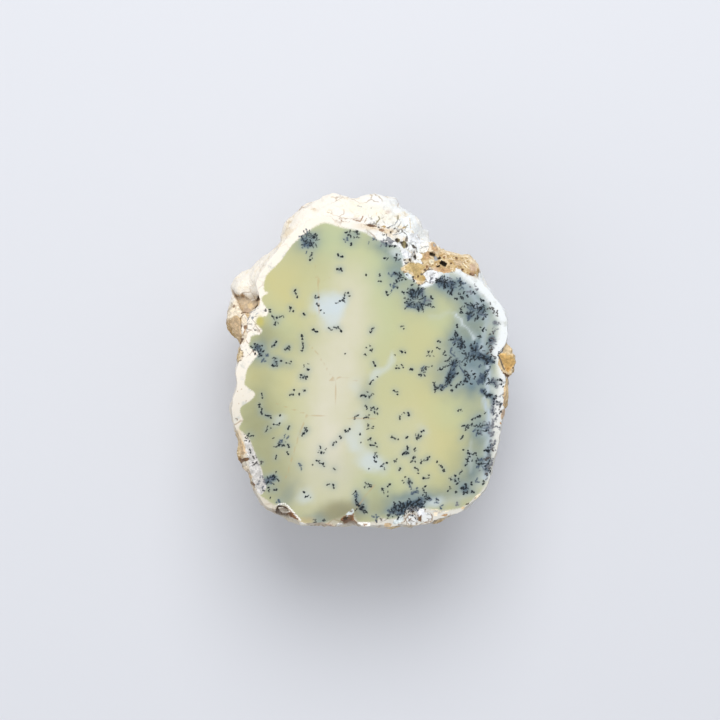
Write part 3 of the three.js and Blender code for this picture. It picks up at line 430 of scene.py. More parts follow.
# Smaller flecks, crumbs and pits on top of them, each a closed outline.
FLECKS: list[tuple[Tint, list[Point]]] = [
    # hollow and lump on the left
    # This BROWN fleck is painted shade at the hollow's dark upper right end.
    (Tint.BROWN, [(-26.9, 15.6), (-26.4, 14.6), (-26.9, 14.3), (-27.5, 14.3), (-27.3, 14.7)]),
    (Tint.TAN, [(-31.1, 15.9), (-30.7, 16.0), (-30.2, 15.6), (-30.5, 15.2), (-31.0, 15.5)]),
    (Tint.BUFF, [(-29.4, 13.6), (-28.6, 13.9), (-28.1, 13.2), (-28.6, 12.6), (-29.4, 12.8)]),
    (Tint.FAWN, [(-30.2, 12.5), (-29.1, 12.5), (-28.8, 11.9), (-29.7, 11.5), (-30.4, 11.8)]),
    (Tint.CLAY, [(-33.0, 13.0), (-32.6, 13.4), (-32.6, 13.0), (-32.9, 12.7)]),
    (Tint.CLAY, [(-30.3, 8.4), (-29.5, 8.4), (-29.7, 7.7), (-30.2, 7.6)]),
    (Tint.BROWN, [(-30.9, 5.4), (-30.4, 5.3), (-31.0, 4.3), (-31.3, 4.1)]),
    (Tint.GREY, [(-28.5, 10.5), (-27.9, 10.6), (-28.0, 10.2), (-28.4, 10.0)]),
    (Tint.SMOKE, [(-28.0, 7.7), (-27.5, 7.5), (-27.4, 7.1), (-27.8, 7.3)]),
    # pits and crumbs beside the top lump
    (Tint.SMOKE, [(8.2, 28.7), (8.3, 29.4), (8.6, 29.8), (8.8, 29.2), (8.7, 28.6)]),
    (Tint.OLIVE, [(7.2, 28.1), (7.7, 28.6), (8.2, 28.5), (8.6, 27.9), (8.4, 27.2), (7.9, 26.9),
        (7.5, 27.3)]),
    (Tint.DARK, [(7.0, 28.4), (7.5, 28.5), (7.6, 27.7), (7.3, 27.8)]),
    (Tint.DARK, [(8.5, 28.0), (8.8, 27.6), (8.4, 27.0), (8.3, 27.5)]),
    (Tint.OLIVE, [(6.2, 29.3), (6.9, 29.0), (6.8, 28.6), (6.3, 28.2)]),
    (Tint.DARK, [(5.8, 29.1), (6.3, 29.3), (6.5, 28.9), (6.2, 28.3), (5.8, 28.5)]),
    (Tint.DARK, [(9.7, 27.8), (10.1, 27.7), (10.8, 27.1), (10.5, 26.9), (10.1, 27.0), (9.8, 27.5)]),
    (Tint.GREY, [(4.0, 28.8), (4.5, 29.2), (5.0, 28.8), (4.9, 28.0), (4.4, 27.7), (4.1, 28.1)]),
    (Tint.DARK, [(10.2, 24.8), (10.6, 25.4), (10.8, 24.6), (10.7, 24.1)]),
    (Tint.SNOW, [(10.8, 25.4), (11.4, 25.8), (12.1, 25.4), (12.2, 24.7), (11.6, 24.2), (11.0, 24.3)]),
    (Tint.SNOW, [(10.1, 23.9), (10.8, 23.8), (11.2, 23.6), (10.6, 23.3)]),
    (Tint.SMOKE, [(7.7, 24.3), (8.3, 24.2), (8.2, 23.9), (7.8, 23.9)]),
    (Tint.DARK, [(9.0, 24.4), (9.4, 24.3), (9.4, 23.8), (9.0, 23.9)]),
    (Tint.SMOKE, [(8.0, 23.4), (8.8, 23.4), (8.6, 23.1), (8.2, 23.1)]),
    # slits and stains on the top lumps
    (Tint.BROWN, [(-1.1, 32.4), (-0.3, 32.6), (0.8, 32.3), (1.3, 32.1), (0.8, 32.0), (-0.4, 32.0)]),
    (Tint.OCHRE, [(2.6, 32.1), (3.1, 32.3), (3.6, 32.0), (3.2, 31.8)]),
    (Tint.SMOKE, [(1.6, 32.0), (2.0, 32.0), (2.0, 31.8), (1.7, 31.7)]),
    (Tint.SMOKE, [(3.8, 31.9), (4.4, 31.9), (4.3, 31.7), (3.9, 31.7)]),
    (Tint.CLAY, [(1.9, 31.2), (2.5, 31.5), (3.2, 31.2), (2.7, 30.8)]),
    (Tint.DARK, [(4.6, 31.0), (4.9, 30.8), (4.8, 30.4), (4.6, 30.5)]),
    (Tint.SMOKE, [(2.9, 30.2), (3.3, 30.2), (3.3, 30.0), (3.0, 29.9)]),
    (Tint.SMOKE, [(5.5, 31.8), (5.8, 31.8), (5.7, 31.5), (5.5, 31.5)]),
    (Tint.SMOKE, [(6.3, 31.2), (6.8, 31.1), (6.7, 30.9), (6.4, 30.9)]),
    (Tint.SMOKE, [(7.3, 31.4), (7.6, 31.3), (7.6, 30.8), (7.4, 30.8)]),
    (Tint.OLIVE, [(6.4, 34.9), (6.6, 34.8), (6.6, 33.8), (6.3, 33.9)]),
    # pits of the sandy ledge
    (Tint.DARK, [(14.0, 25.9), (14.7, 25.8), (15.3, 25.4), (15.1, 25.0), (14.4, 25.2), (14.1, 25.4)]),
    (Tint.GREY, [(15.0, 24.9), (15.8, 24.8), (15.9, 24.1), (15.2, 24.0)]),
    (Tint.RUST, [(13.1, 22.8), (13.6, 22.7), (13.5, 22.3), (13.2, 22.3)]),
    (Tint.GREY, [(15.0, 28.0), (15.4, 27.7), (15.2, 27.4), (14.9, 27.6)]),
    (Tint.BROWN, [(12.7, 21.9), (13.1, 21.9), (13.0, 21.6), (12.7, 21.6)]),
    (Tint.BROWN, [(18.9, 23.4), (19.3, 23.4), (19.2, 23.1), (18.9, 23.1)]),
    (Tint.BROWN, [(21.6, 22.0), (22.1, 21.9), (21.9, 21.6), (21.6, 21.7)]),
    (Tint.BROWN, [(23.5, 20.9), (24.2, 20.8), (24.8, 20.4), (24.1, 20.4), (23.6, 20.6)]),
    (Tint.RUST, [(17.3, 24.9), (17.7, 25.0), (17.6, 24.7), (17.3, 24.6)]),
    (Tint.DARK, [(15.9, 24.6), (16.5, 24.9), (16.7, 24.6), (16.5, 24.3), (16.1, 24.3)]),
    (Tint.NIGHT, [(16.4, 23.3), (16.9, 24.0), (18.1, 23.3), (18.0, 23.0), (17.7, 22.5)]),
    (Tint.DARK, [(15.7, 22.6), (16.4, 22.8), (16.2, 22.4), (15.8, 22.4)]),
    (Tint.BROWN, [(20.2, 24.9), (20.6, 24.9), (20.6, 24.4), (20.3, 24.4)]),
    (Tint.CLAY, [(23.6, 21.1), (24.3, 21.1), (24.8, 20.7), (24.1, 20.6)]),
    (Tint.OCHRE, [(12.3, 20.1), (12.8, 20.0), (13.0, 19.4), (12.6, 19.1), (12.3, 19.5)]),
    (Tint.BROWN, [(11.0, 20.3), (11.4, 20.3), (11.3, 19.9), (11.1, 19.9)]),
    (Tint.SMOKE, [(11.9, 20.9), (12.2, 20.8), (12.1, 20.5), (11.9, 20.5)]),
    # chip on the right
    (Tint.BROWN, [(31.6, -2.8), (32.3, -3.2), (33.0, -3.4), (32.7, -3.9), (32.1, -3.6)]),
    (Tint.BROWN, [(33.8, -1.4), (34.1, -1.6), (33.9, -1.9), (33.7, -1.7)]),
    # pockets and crumbs along the lower edge
    # This DARK fleck rings the ivory crumb in the left pocket: a dark line above it, and a painted shadow
    # under it.
    (Tint.DARK, [(-22.4, -34.6), (-21.9, -34.4), (-20.6, -34.7), (-19.8, -35.3), (-20.1, -35.4),
        (-21.2, -34.9), (-21.7, -34.9), (-21.9, -35.8), (-21.0, -36.3), (-19.9, -36.5), (-19.8, -36.8),
        (-21.0, -37.2), (-22.4, -36.9), (-22.7, -36.1)]),
    (Tint.IVORY, [(-21.8, -35.1), (-21.2, -34.8), (-20.3, -35.2), (-19.2, -35.8), (-19.9, -36.1),
        (-21.0, -36.1), (-21.6, -35.7)]),
    (Tint.UMBER, [(-19.8, -36.3), (-18.9, -36.1), (-17.8, -37.0), (-17.1, -37.7), (-17.8, -37.7),
        (-18.9, -37.2)]),
    (Tint.DARK, [(-6.6, -37.5), (-6.1, -37.0), (-5.5, -37.2), (-5.7, -37.7), (-6.3, -37.8)]),
    (Tint.BROWN, [(-5.3, -37.1), (-4.6, -36.9), (-4.4, -37.6), (-4.9, -37.9)]),
    (Tint.MIST, [(-5.9, -36.4), (-4.9, -35.8), (-4.3, -35.2), (-4.1, -35.9), (-4.5, -36.4), (-5.6, -36.7)]),
    (Tint.BROWN, [(-5.0, -35.9), (-4.6, -35.5), (-4.5, -35.7), (-4.8, -36.0)]),
    (Tint.SNOW, [(-7.9, -38.7), (-6.9, -38.6), (-6.7, -39.4), (-7.4, -40.0), (-8.1, -39.4)]),
    (Tint.SNOW, [(-17.1, -38.4), (-16.1, -38.6), (-15.2, -39.1), (-15.7, -39.3), (-16.8, -39.1)]),
    (Tint.SNOW, [(-3.2, -38.5), (-0.3, -38.5), (-0.3, -39.3), (-1.1, -39.7), (-2.3, -39.3)]),
    (Tint.CLAY, [(-1.7, -38.9), (-1.1, -38.8), (-1.0, -39.1), (-1.6, -39.2)]),
    (Tint.ROSE, [(-11.0, -38.9), (-9.3, -39.1), (-9.8, -39.6)]),
    (Tint.SMOKE, [(1.2, -37.9), (1.4, -37.9), (1.5, -38.5), (1.3, -38.5)]),
    (Tint.SMOKE, [(2.1, -37.5), (2.3, -37.4), (2.6, -37.9), (2.4, -38.0)]),
    (Tint.PEARL, [(10.9, -35.8), (11.9, -35.2), (12.6, -35.4), (12.9, -36.0), (12.2, -36.8),
        (11.3, -36.8)]),
    (Tint.DARK, [(9.4, -35.1), (9.8, -35.5), (10.3, -35.9), (9.8, -36.2), (9.5, -35.8)]),
    (Tint.BROWN, [(11.3, -37.0), (11.9, -36.9), (12.0, -37.6), (11.9, -38.2), (11.4, -38.0),
        (11.3, -37.4)]),
    (Tint.CREAM, [(14.8, -36.1), (15.7, -36.0), (15.8, -36.8), (15.1, -36.8)]),
    (Tint.BROWN, [(-31.3, -23.3), (-30.7, -23.4), (-30.1, -23.1), (-29.3, -23.0), (-29.0, -23.5),
        (-29.8, -23.8), (-30.5, -23.9), (-30.9, -24.4)]),
    (Tint.BROWN, [(-28.9, -28.7), (-28.3, -28.9), (-27.6, -29.4), (-27.8, -29.8), (-28.5, -29.3)]),
    (Tint.STRAW, [(24.9, -32.2), (25.8, -31.7), (26.3, -31.7), (25.8, -32.4), (24.9, -32.9)]),
    (Tint.DARK, [(22.6, -34.1), (23.4, -33.8), (23.3, -34.0), (22.7, -34.3)]),
    (Tint.SAND, [(21.4, -35.1), (22.0, -34.7), (22.4, -34.9), (21.8, -35.3)]),
]

# Thin lines drawn over all of that: tint, half width and course.
STROKES: list[tuple[Tint, float, list[Point]]] = [
    # left
    (Tint.BROWN, 0.11, [(-31.2, 10.2), (-31.0, 9.5), (-31.0, 8.9)]),
    (Tint.BROWN, 0.1, [(-31.0, 10.3), (-30.4, 11.1)]),
    (Tint.BROWN, 0.13, [(-30.9, 11.4), (-30.2, 11.6), (-29.5, 11.5)]),
    (Tint.BROWN, 0.1, [(-30.9, 8.0), (-30.7, 8.6)]),
    (Tint.GREY, 0.09, [(-28.9, 11.5), (-27.9, 12.0), (-26.8, 12.5)]),
    (Tint.GREY, 0.1, [(-27.5, 11.0), (-26.3, 11.7)]),
    (Tint.GREY, 0.09, [(-29.4, 9.5), (-29.2, 10.2), (-28.6, 10.8)]),
    (Tint.GREY, 0.08, [(-27.0, 7.7), (-26.8, 7.5)]),
    (Tint.GREY, 0.08, [(-28.5, 9.5), (-28.4, 8.7), (-28.0, 8.2)]),
    (Tint.TAN, 0.12, [(-29.7, 8.2), (-30.5, 6.2)]),
    (Tint.GREY, 0.08, [(-30.0, 3.4), (-29.4, 1.9), (-28.7, 1.4)]),
    # This CLAY stroke is a painted shadow under the white overhang at the hollow's left end.
    (Tint.CLAY, 0.15, [(-33.2, 17.0), (-32.2, 15.5)]),
    (Tint.CLAY, 0.16, [(-31.9, -7.1), (-31.7, -7.2)]),
    (Tint.OCHRE, 0.14, [(-31.0, -6.7), (-30.8, -6.6)]),
    (Tint.OCHRE, 0.14, [(-30.5, -8.2), (-30.3, -8.4)]),
    (Tint.CLAY, 0.13, [(-29.8, -9.4), (-29.8, -9.6)]),
    (Tint.OCHRE, 0.15, [(-31.4, -10.1), (-31.3, -10.4)]),
    (Tint.BROWN, 0.18, [(-32.1, -13.7), (-31.9, -14.0)]),
    (Tint.SMOKE, 0.08, [(-30.2, -21.7), (-28.3, -23.8)]),
    (Tint.SMOKE, 0.09, [(-29.3, -28.3), (-27.1, -30.7)]),
    # top lumps
    (Tint.CLAY, 0.13, [(-4.1, 33.7), (-3.3, 33.4), (-2.5, 33.3), (-1.9, 34.6)]),
    (Tint.FAWN, 0.1, [(-1.0, 34.1), (-1.3, 33.5), (-1.6, 33.0)]),
    (Tint.GREY, 0.11, [(-3.2, 37.1), (-2.2, 36.9)]),
    (Tint.OLIVE, 0.13, [(1.8, 34.5), (2.1, 34.0), (1.7, 33.4), (1.4, 33.2), (1.3, 32.8), (1.0, 32.5)]),
    (Tint.SAND, 0.09, [(1.5, 35.6), (1.3, 35.1)]),
    (Tint.GREY, 0.09, [(3.2, 37.1), (3.1, 36.3)]),
    (Tint.GREY, 0.13, [(0.0, 36.6), (0.1, 36.6)]),
    (Tint.FAWN, 0.09, [(3.5, 35.4), (3.9, 35.2)]),
    (Tint.SMOKE, 0.1, [(3.7, 30.2), (3.7, 29.8), (3.8, 29.4)]),
    (Tint.GREY, 0.1, [(2.2, 30.4), (3.0, 29.8)]),
    (Tint.GREY, 0.12, [(6.5, 33.8), (5.8, 32.7), (4.6, 32.1)]),
    (Tint.SMOKE, 0.12, [(4.6, 32.1), (4.0, 31.8)]),
    (Tint.OCHRE, 0.17, [(7.6, 31.8), (8.3, 32.1)]),
    (Tint.OLIVE, 0.13, [(8.3, 32.1), (8.8, 32.5)]),
    (Tint.SAND, 0.11, [(9.3, 34.2), (9.4, 33.1), (9.5, 31.7)]),
    (Tint.ROSE, 0.08, [(11.1, 31.0), (11.9, 31.5)]),
    (Tint.FAWN, 0.09, [(11.0, 30.3), (11.3, 29.8), (11.6, 29.5)]),
    (Tint.SAND, 0.12, [(12.1, 29.3), (12.5, 29.2)]),
    (Tint.OCHRE, 0.09, [(-10.6, 35.5), (-9.4, 35.2)]),
    (Tint.BUFF, 0.1, [(-9.0, 33.6), (-7.6, 32.1)]),
    (Tint.BUFF, 0.1, [(-14.5, 36.2), (-13.3, 36.4)]),
    (Tint.CLAY, 0.1, [(-7.6, 33.9), (-6.6, 33.1), (-5.0, 33.0)]),
    # beside the top lump and on the ledge
    (Tint.SMOKE, 0.1, [(7.4, 31.1), (8.4, 30.3), (8.7, 29.7)]),
    (Tint.SMOKE, 0.1, [(10.9, 27.0), (11.0, 26.0)]),
    (Tint.GREY, 0.08, [(11.8, 26.8), (12.5, 27.3), (13.7, 27.4)]),
    (Tint.SMOKE, 0.1, [(7.0, 26.2), (7.6, 25.9)]),
    (Tint.GREY, 0.1, [(5.2, 30.0), (6.2, 30.3), (7.2, 30.6)]),
    (Tint.GREY, 0.09, [(5.3, 27.6), (6.4, 27.4), (6.8, 26.7)]),
    (Tint.GREY, 0.09, [(9.9, 25.3), (10.3, 26.3)]),
    (Tint.GREY, 0.09, [(14.2, 19.8), (14.0, 20.3), (14.7, 20.5), (15.2, 20.1)]),
    (Tint.GREY, 0.08, [(14.6, 21.0), (15.3, 20.9)]),
    (Tint.STRAW, 0.13, [(22.0, 23.3), (22.9, 22.4)]),
    (Tint.SMOKE, 0.09, [(12.3, 20.7), (13.3, 21.7), (14.7, 21.9)]),
    (Tint.SMOKE, 0.1, [(12.7, 19.0), (13.4, 18.6)]),
    # right
    (Tint.SMOKE, 0.16, [(30.2, 1.4), (30.9, 0.3), (31.2, -0.8), (31.8, -2.0)]),
    (Tint.SMOKE, 0.12, [(30.5, 1.7), (31.3, 2.3), (31.5, 3.3)]),
    (Tint.BROWN, 0.14, [(31.1, -2.3), (31.7, -3.1)]),
    (Tint.SMOKE, 0.16, [(30.9, -10.2), (30.8, -10.8), (30.5, -11.6)]),
    (Tint.TAN, 0.2, [(30.8, -14.7), (31.0, -15.0)]),
    (Tint.TAN, 0.1, [(31.6, -6.6), (31.8, -8.9), (31.5, -10.6)]),
    (Tint.CLAY, 0.09, [(24.6, -33.0), (25.1, -32.2)]),
    # lower edge
    (Tint.SNOW, 0.18, [(-22.2, -34.2), (-20.6, -33.9), (-19.6, -34.7), (-18.4, -36.1), (-16.8, -37.9)]),
    (Tint.RUST, 0.1, [(6.6, -38.9), (8.0, -38.2), (8.3, -37.5), (8.7, -37.0), (9.1, -36.4)]),
    (Tint.BROWN, 0.1, [(8.1, -36.0), (8.0, -37.0)]),
    (Tint.BROWN, 0.1, [(10.3, -36.4), (11.3, -36.9)]),
    (Tint.BROWN, 0.09, [(8.8, -38.2), (9.5, -37.5)]),
    (Tint.BROWN, 0.09, [(10.1, -38.2), (10.9, -38.6)]),
    (Tint.STRAW, 0.13, [(14.3, -35.5), (15.9, -35.4), (16.5, -36.0), (17.4, -36.0), (18.8, -35.5)]),
    (Tint.DARK, 0.1, [(14.8, -36.0), (15.7, -36.0)]),
    (Tint.BROWN, 0.1, [(13.0, -35.3), (12.7, -36.0), (12.9, -36.4)]),
]

# How far pits are sunk and crumbs raised, in millimetres.
RELIEF_MM = {
    Tint.NIGHT: -1.5, Tint.DARK: -0.8, Tint.BROWN: -0.4, Tint.OLIVE: -0.6, Tint.SNOW: 0.3, Tint.PEARL: 0.25,
    Tint.IVORY: 1.4,
}


class Tone(Enum):
    """How dark a dendrite is and how far into the opal it lies, as (tone, blur in mm)."""

    BLACK = (0.0, 0.08)
    SLATE = (0.34, 0.13)
    GREY = (0.66, 0.12)
    RUSTY = (1.0, 0.08)


@dataclass(frozen=True)
class Zone:
    """A soft cloud of colour on the face: its middle, half sizes, turn and strength."""

    x: float
    y: float
    across: float
    up: float
    turn: float = 0.0
    strength: float = 1.0

    def reach(self, points: np.ndarray) -> np.ndarray:
        """How far out each point lies, where 0 is the cloud's middle and 1 its rim.

        Args:
            points: Places on the face in millimetres, one row each.

        Returns:
            One value for each point.
        """
        angle = math.radians(self.turn)
        dx, dy = points[:, 0] - self.x, points[:, 1] - self.y
        u = (dx * math.cos(angle) + dy * math.sin(angle)) / self.across
        v = (dy * math.cos(angle) - dx * math.sin(angle)) / self.up
        return np.hypot(u, v)

    def cloud(self, points: np.ndarray) -> np.ndarray:
        """How much of the colour each point gets when it thins out slowly from the middle."""
        return self.strength * np.exp(-CLOUD_FALLOFF * self.reach(points) ** 2)

    def patch(self, points: np.ndarray, edge_mm: float) -> np.ndarray:
        """How much of the colour each point gets when it fills the ellipse up to a soft edge."""
        depth = (1 - self.reach(points)) * min(self.across, self.up)
        return self.strength * smooth_share(0.5 + depth / (2 * edge_mm))


@dataclass(frozen=True)
class Streak:
    """A soft band of colour along a crooked line on the face."""

    half_width: float
    strength: float
    line: tuple[Point, ...]

    def band(self, points: np.ndarray) -> np.ndarray:
        """How much of the colour each point gets."""
        away = line_distance(points[:, :2], *segments([self.line]))[0]
        return self.strength * smooth_share(1 - away / self.half_width)


# Slate blue opal, where it is clearest.
BLUE_ZONES = [
    Zone(23.6, 8.0, 4.2, 10.0, 0, 0.6), Zone(25.0, 1.8, 4.4, 5.0, 0, 0.9),
    Zone(23.6, 17.0, 5.4, 3.4, -40, 0.8), Zone(26.6, 11.0, 3.0, 5.0, 10, 0.6),
    Zone(25.2, -4.6, 3.6, 5.0, 0, 0.95), Zone(20.6, -7.0, 3.6, 2.6, 0, 0.3),
    Zone(25.8, -17.0, 3.0, 5.0, 0, 0.75), Zone(25.0, -25.0, 2.6, 4.4, 0, 0.75),
    Zone(-15.0, 28.6, 3.4, 2.6, 0, 0.55), Zone(-4.6, 29.4, 3.0, 1.8, 0, 0.3),
    Zone(3.4, 26.6, 4.4, 2.0, -35, 0.6), Zone(5.6, 20.6, 4.0, 3.4, 0, 0.6),
    Zone(11.4, 14.4, 4.4, 3.4, 0, 0.4), Zone(17.5, 17.8, 5.2, 2.6, -10, 0.85),
    Zone(6.4, 24.2, 2.4, 2.6, 0, 0.55), Zone(8.6, -33.0, 6.0, 2.4, 12, 0.7),
    Zone(4.6, -36.0, 2.4, 1.6, 25, 0.6), Zone(-26.6, 2.2, 2.6, 2.6, -40, 0.5),
    Zone(-22.0, -0.9, 4.0, 1.4, -10, 0.35), Zone(19.8, 3.4, 3.4, 4.4, 0, 0.6),
    Zone(17.6, -2.4, 4.6, 3.2, 10, 0.5), Zone(-3.0, -34.2, 1.8, 2.6, 0, 0.6),
    Zone(-12.0, -38.0, 5.0, 1.5, 0, 0.5), Zone(-7.0, -36.4, 2.2, 1.6, 0, 0.45),
    Zone(-19.4, -31.6, 2.4, 3.0, -30, 0.4), Zone(16.0, -33.0, 5.0, 2.0, 0, 0.45),
    Zone(21.6, -29.6, 2.4, 2.6, 0, 0.55), Zone(-1.0, -8.0, 2.0, 3.6, 0, 0.3),
    Zone(12.6, -32.6, 2.4, 1.8, 0, 0.5), Zone(24.4, -26.6, 1.6, 2.4, 0, 0.4),
    Zone(-9.0, -27.0, 8.0, 6.0, 0, 0.1),
]
# Milky patches, veins and bands.
MILK_ZONES = [
    Zone(-10.1, 13.5, 3.5, 2.4, 10, 0.8), Zone(-9.5, 10.9, 2.3, 2.7, 8, 0.75),
    Zone(-3.3, -18.0, 1.8, 2.8, 15, 0.55), Zone(0.3, -24.2, 3.2, 2.0, -25, 0.7),
    Zone(-1.4, -20.8, 1.8, 1.0, -40, 0.35), Zone(-21.9, -14.3, 1.4, 0.9, 5, 0.45),
    Zone(-15.1, -32.1, 1.9, 1.7, 0, 0.5), Zone(15.3, -34.2, 2.3, 1.2, 0, 0.75),
    Zone(-3.6, -6.2, 1.3, 1.6, 30, 0.3), Zone(-3.4, -14.4, 0.9, 2.6, -20, 0.25),
    Zone(12.0, -16.8, 1.0, 0.6, -30, 0.3), Zone(24.3, -3.0, 0.8, 1.0, 0, 0.3),
    Zone(18.0, 20.3, 2.4, 0.9, -8, 0.5),
]
MILK_STREAKS = [
    Streak(1.2, 0.5, ((5.8, 1.3), (5.0, 0.1), (4.1, -0.9), (2.9, -1.6), (1.7, -2.1), (0.9, -2.9),
        (0.2, -3.8))),
    Streak(0.34, 0.7, ((20.5, 11.5), (20.7, 10.6), (21.5, 9.8), (21.9, 8.6), (23.0, 7.5), (23.6, 6.3),
        (24.3, 5.2))),
    Streak(1.3, 0.26, ((20.5, 11.3), (20.9, 10.3), (21.4, 9.3), (22.2, 8.2), (23.2, 7.3), (24.0, 6.3),
        (24.5, 5.5))),
    Streak(1.2, 0.16, ((14.0, 11.0), (16.8, 11.7), (19.0, 11.9), (20.5, 11.3))),
    Streak(0.8, 0.25, ((23.9, -19.0), (23.4, -22.5), (23.8, -26.0))),
]
# Fog at the right edge, where opal turns into rind slowly.
FOG_STREAKS = [
    Streak(1.8, 0.6, ((22.1, 18.4), (24.5, 15.9), (26.0, 13.6))),
    Streak(1.3, 0.55, ((27.8, 10.2), (28.0, 8.0), (27.1, 5.3), (26.3, 2.1))),
    Streak(1.0, 0.9, ((27.6, -0.8), (28.2, -2.2), (28.3, -5.0), (28.5, -7.0))),
    Streak(1.0, 0.9, ((27.6, -9.2), (27.7, -11.0), (27.9, -13.0), (28.2, -14.6))),
    Streak(1.3, 0.6, ((27.8, -16.0), (27.9, -20.0), (27.0, -25.0))),
]
# Pale, cream, olive, gold and green opal; part of the cream is a painted reflection of a pale wall.
PALE_ZONES = [
    Zone(29.8, -5.2, 1.6, 3.6, 0, 0.95), Zone(29.6, -14.0, 1.6, 5.0, 0, 0.9),
    Zone(29.2, -21.0, 2.2, 5.0, 10, 0.8), Zone(27.0, -28.0, 2.0, 3.0, -20, 0.6),
    Zone(9.0, 24.6, 2.2, 2.6, 0, 0.5), Zone(14.0, 18.6, 2.4, 1.2, 20, 0.6),
    Zone(21.0, -33.0, 4.0, 1.6, 25, 0.4), Zone(29.6, 9.0, 1.4, 5.0, 0, 0.7),
]
# The long zones down the middle make a cream band that is partly the opal's own milky cream and partly a
# painted reflection of a pale wall.
CREAM_AND_REFLECTION_ZONES = [
    Zone(-9.8, -14.0, 6.6, 17.0, 2, 0.9), Zone(-6.6, 2.0, 5.4, 12.0, 4, 0.85),
    Zone(-3.8, 14.0, 4.4, 8.0, 8, 0.6), Zone(-12.0, -27.0, 8.4, 10.0, 0, 0.42),
    Zone(-5.6, 20.0, 4.0, 5.0, 0, 0.25), Zone(8.0, -18.0, 7.0, 8.0, 0, 0.25),
]
OLIVE_ZONES = [
    Zone(-27.0, -12.0, 5.0, 12.0, 0, 0.75), Zone(-24.0, -22.0, 6.0, 10.0, 20, 0.7),
    Zone(-22.0, -30.0, 6.0, 5.0, -30, 0.7), Zone(-9.0, -37.0, 10.0, 3.6, 0, 0.5),
    Zone(2.0, -35.0, 5.0, 4.0, 0, 0.6), Zone(21.0, -31.0, 8.0, 5.0, 25, 0.6),
    Zone(2.0, -30.7, 3.6, 3.4, 0, 0.35), Zone(-25.6, 5.6, 4.0, 4.0, 0, 0.6),
    Zone(-19.0, 4.0, 6.0, 5.0, 0, 0.3), Zone(22.6, -22.0, 4.0, 9.0, 0, 0.3),
    Zone(-15.0, 26.0, 7.0, 6.0, 0, 0.2),
]
GOLD_ZONES = [
    Zone(-21.0, 18.0, 6.0, 6.5, 45, 0.75), Zone(-17.0, 12.0, 4.0, 5.0, 0, 0.3),
    Zone(-28.0, -3.6, 2.6, 3.4, 0, 0.8), Zone(-26.4, 9.0, 1.4, 1.6, 0, 0.9),
    Zone(16.0, -18.0, 5.0, 9.0, 0, 0.75), Zone(14.0, 6.0, 8.0, 6.0, 0, 0.4),
    Zone(13.0, -9.0, 8.0, 6.0, 0, 0.5), Zone(-19.0, -5.0, 4.0, 4.0, 0, 0.4),
    Zone(-24.6, 19.0, 1.6, 3.0, 30, 0.5),
]
GREEN_ZONES = [
    Zone(-9.0, 29.0, 8.0, 4.4, 0, 0.7), Zone(2.0, 22.0, 7.0, 7.0, 0, 0.6),
    Zone(17.0, 10.0, 6.0, 6.0, 0, 0.4), Zone(3.0, 10.0, 5.0, 9.0, 0, 0.35),
    Zone(2.0, -30.0, 6.0, 5.0, 0, 0.5), Zone(20.0, -12.0, 6.0, 5.0, 0, 0.4),
    Zone(-21.0, 8.0, 4.0, 4.0, 0, 0.3),
]
# What values() works out from each of them.
CLOUDS: dict[str, list[Zone]] = {
    "blue": BLUE_ZONES,
    "cream": CREAM_AND_REFLECTION_ZONES,
    "olive": OLIVE_ZONES,
    "gold": GOLD_ZONES,
    "green": GREEN_ZONES,
    "pale": PALE_ZONES,
}


def to_linear(code: str) -> tuple[float, float, float, float]:
    """Turns an sRGB hex colour into linear red, green and blue, with an alpha of one."""
    levels = [int(code[i : i + 2], 16) / 255 for i in (0, 2, 4)]
    red, green, blue = (v / 12.92 if v <= 0.04045 else ((v + 0.055) / 1.055) ** 2.4 for v in levels)
    return (red, green, blue, 1.0)


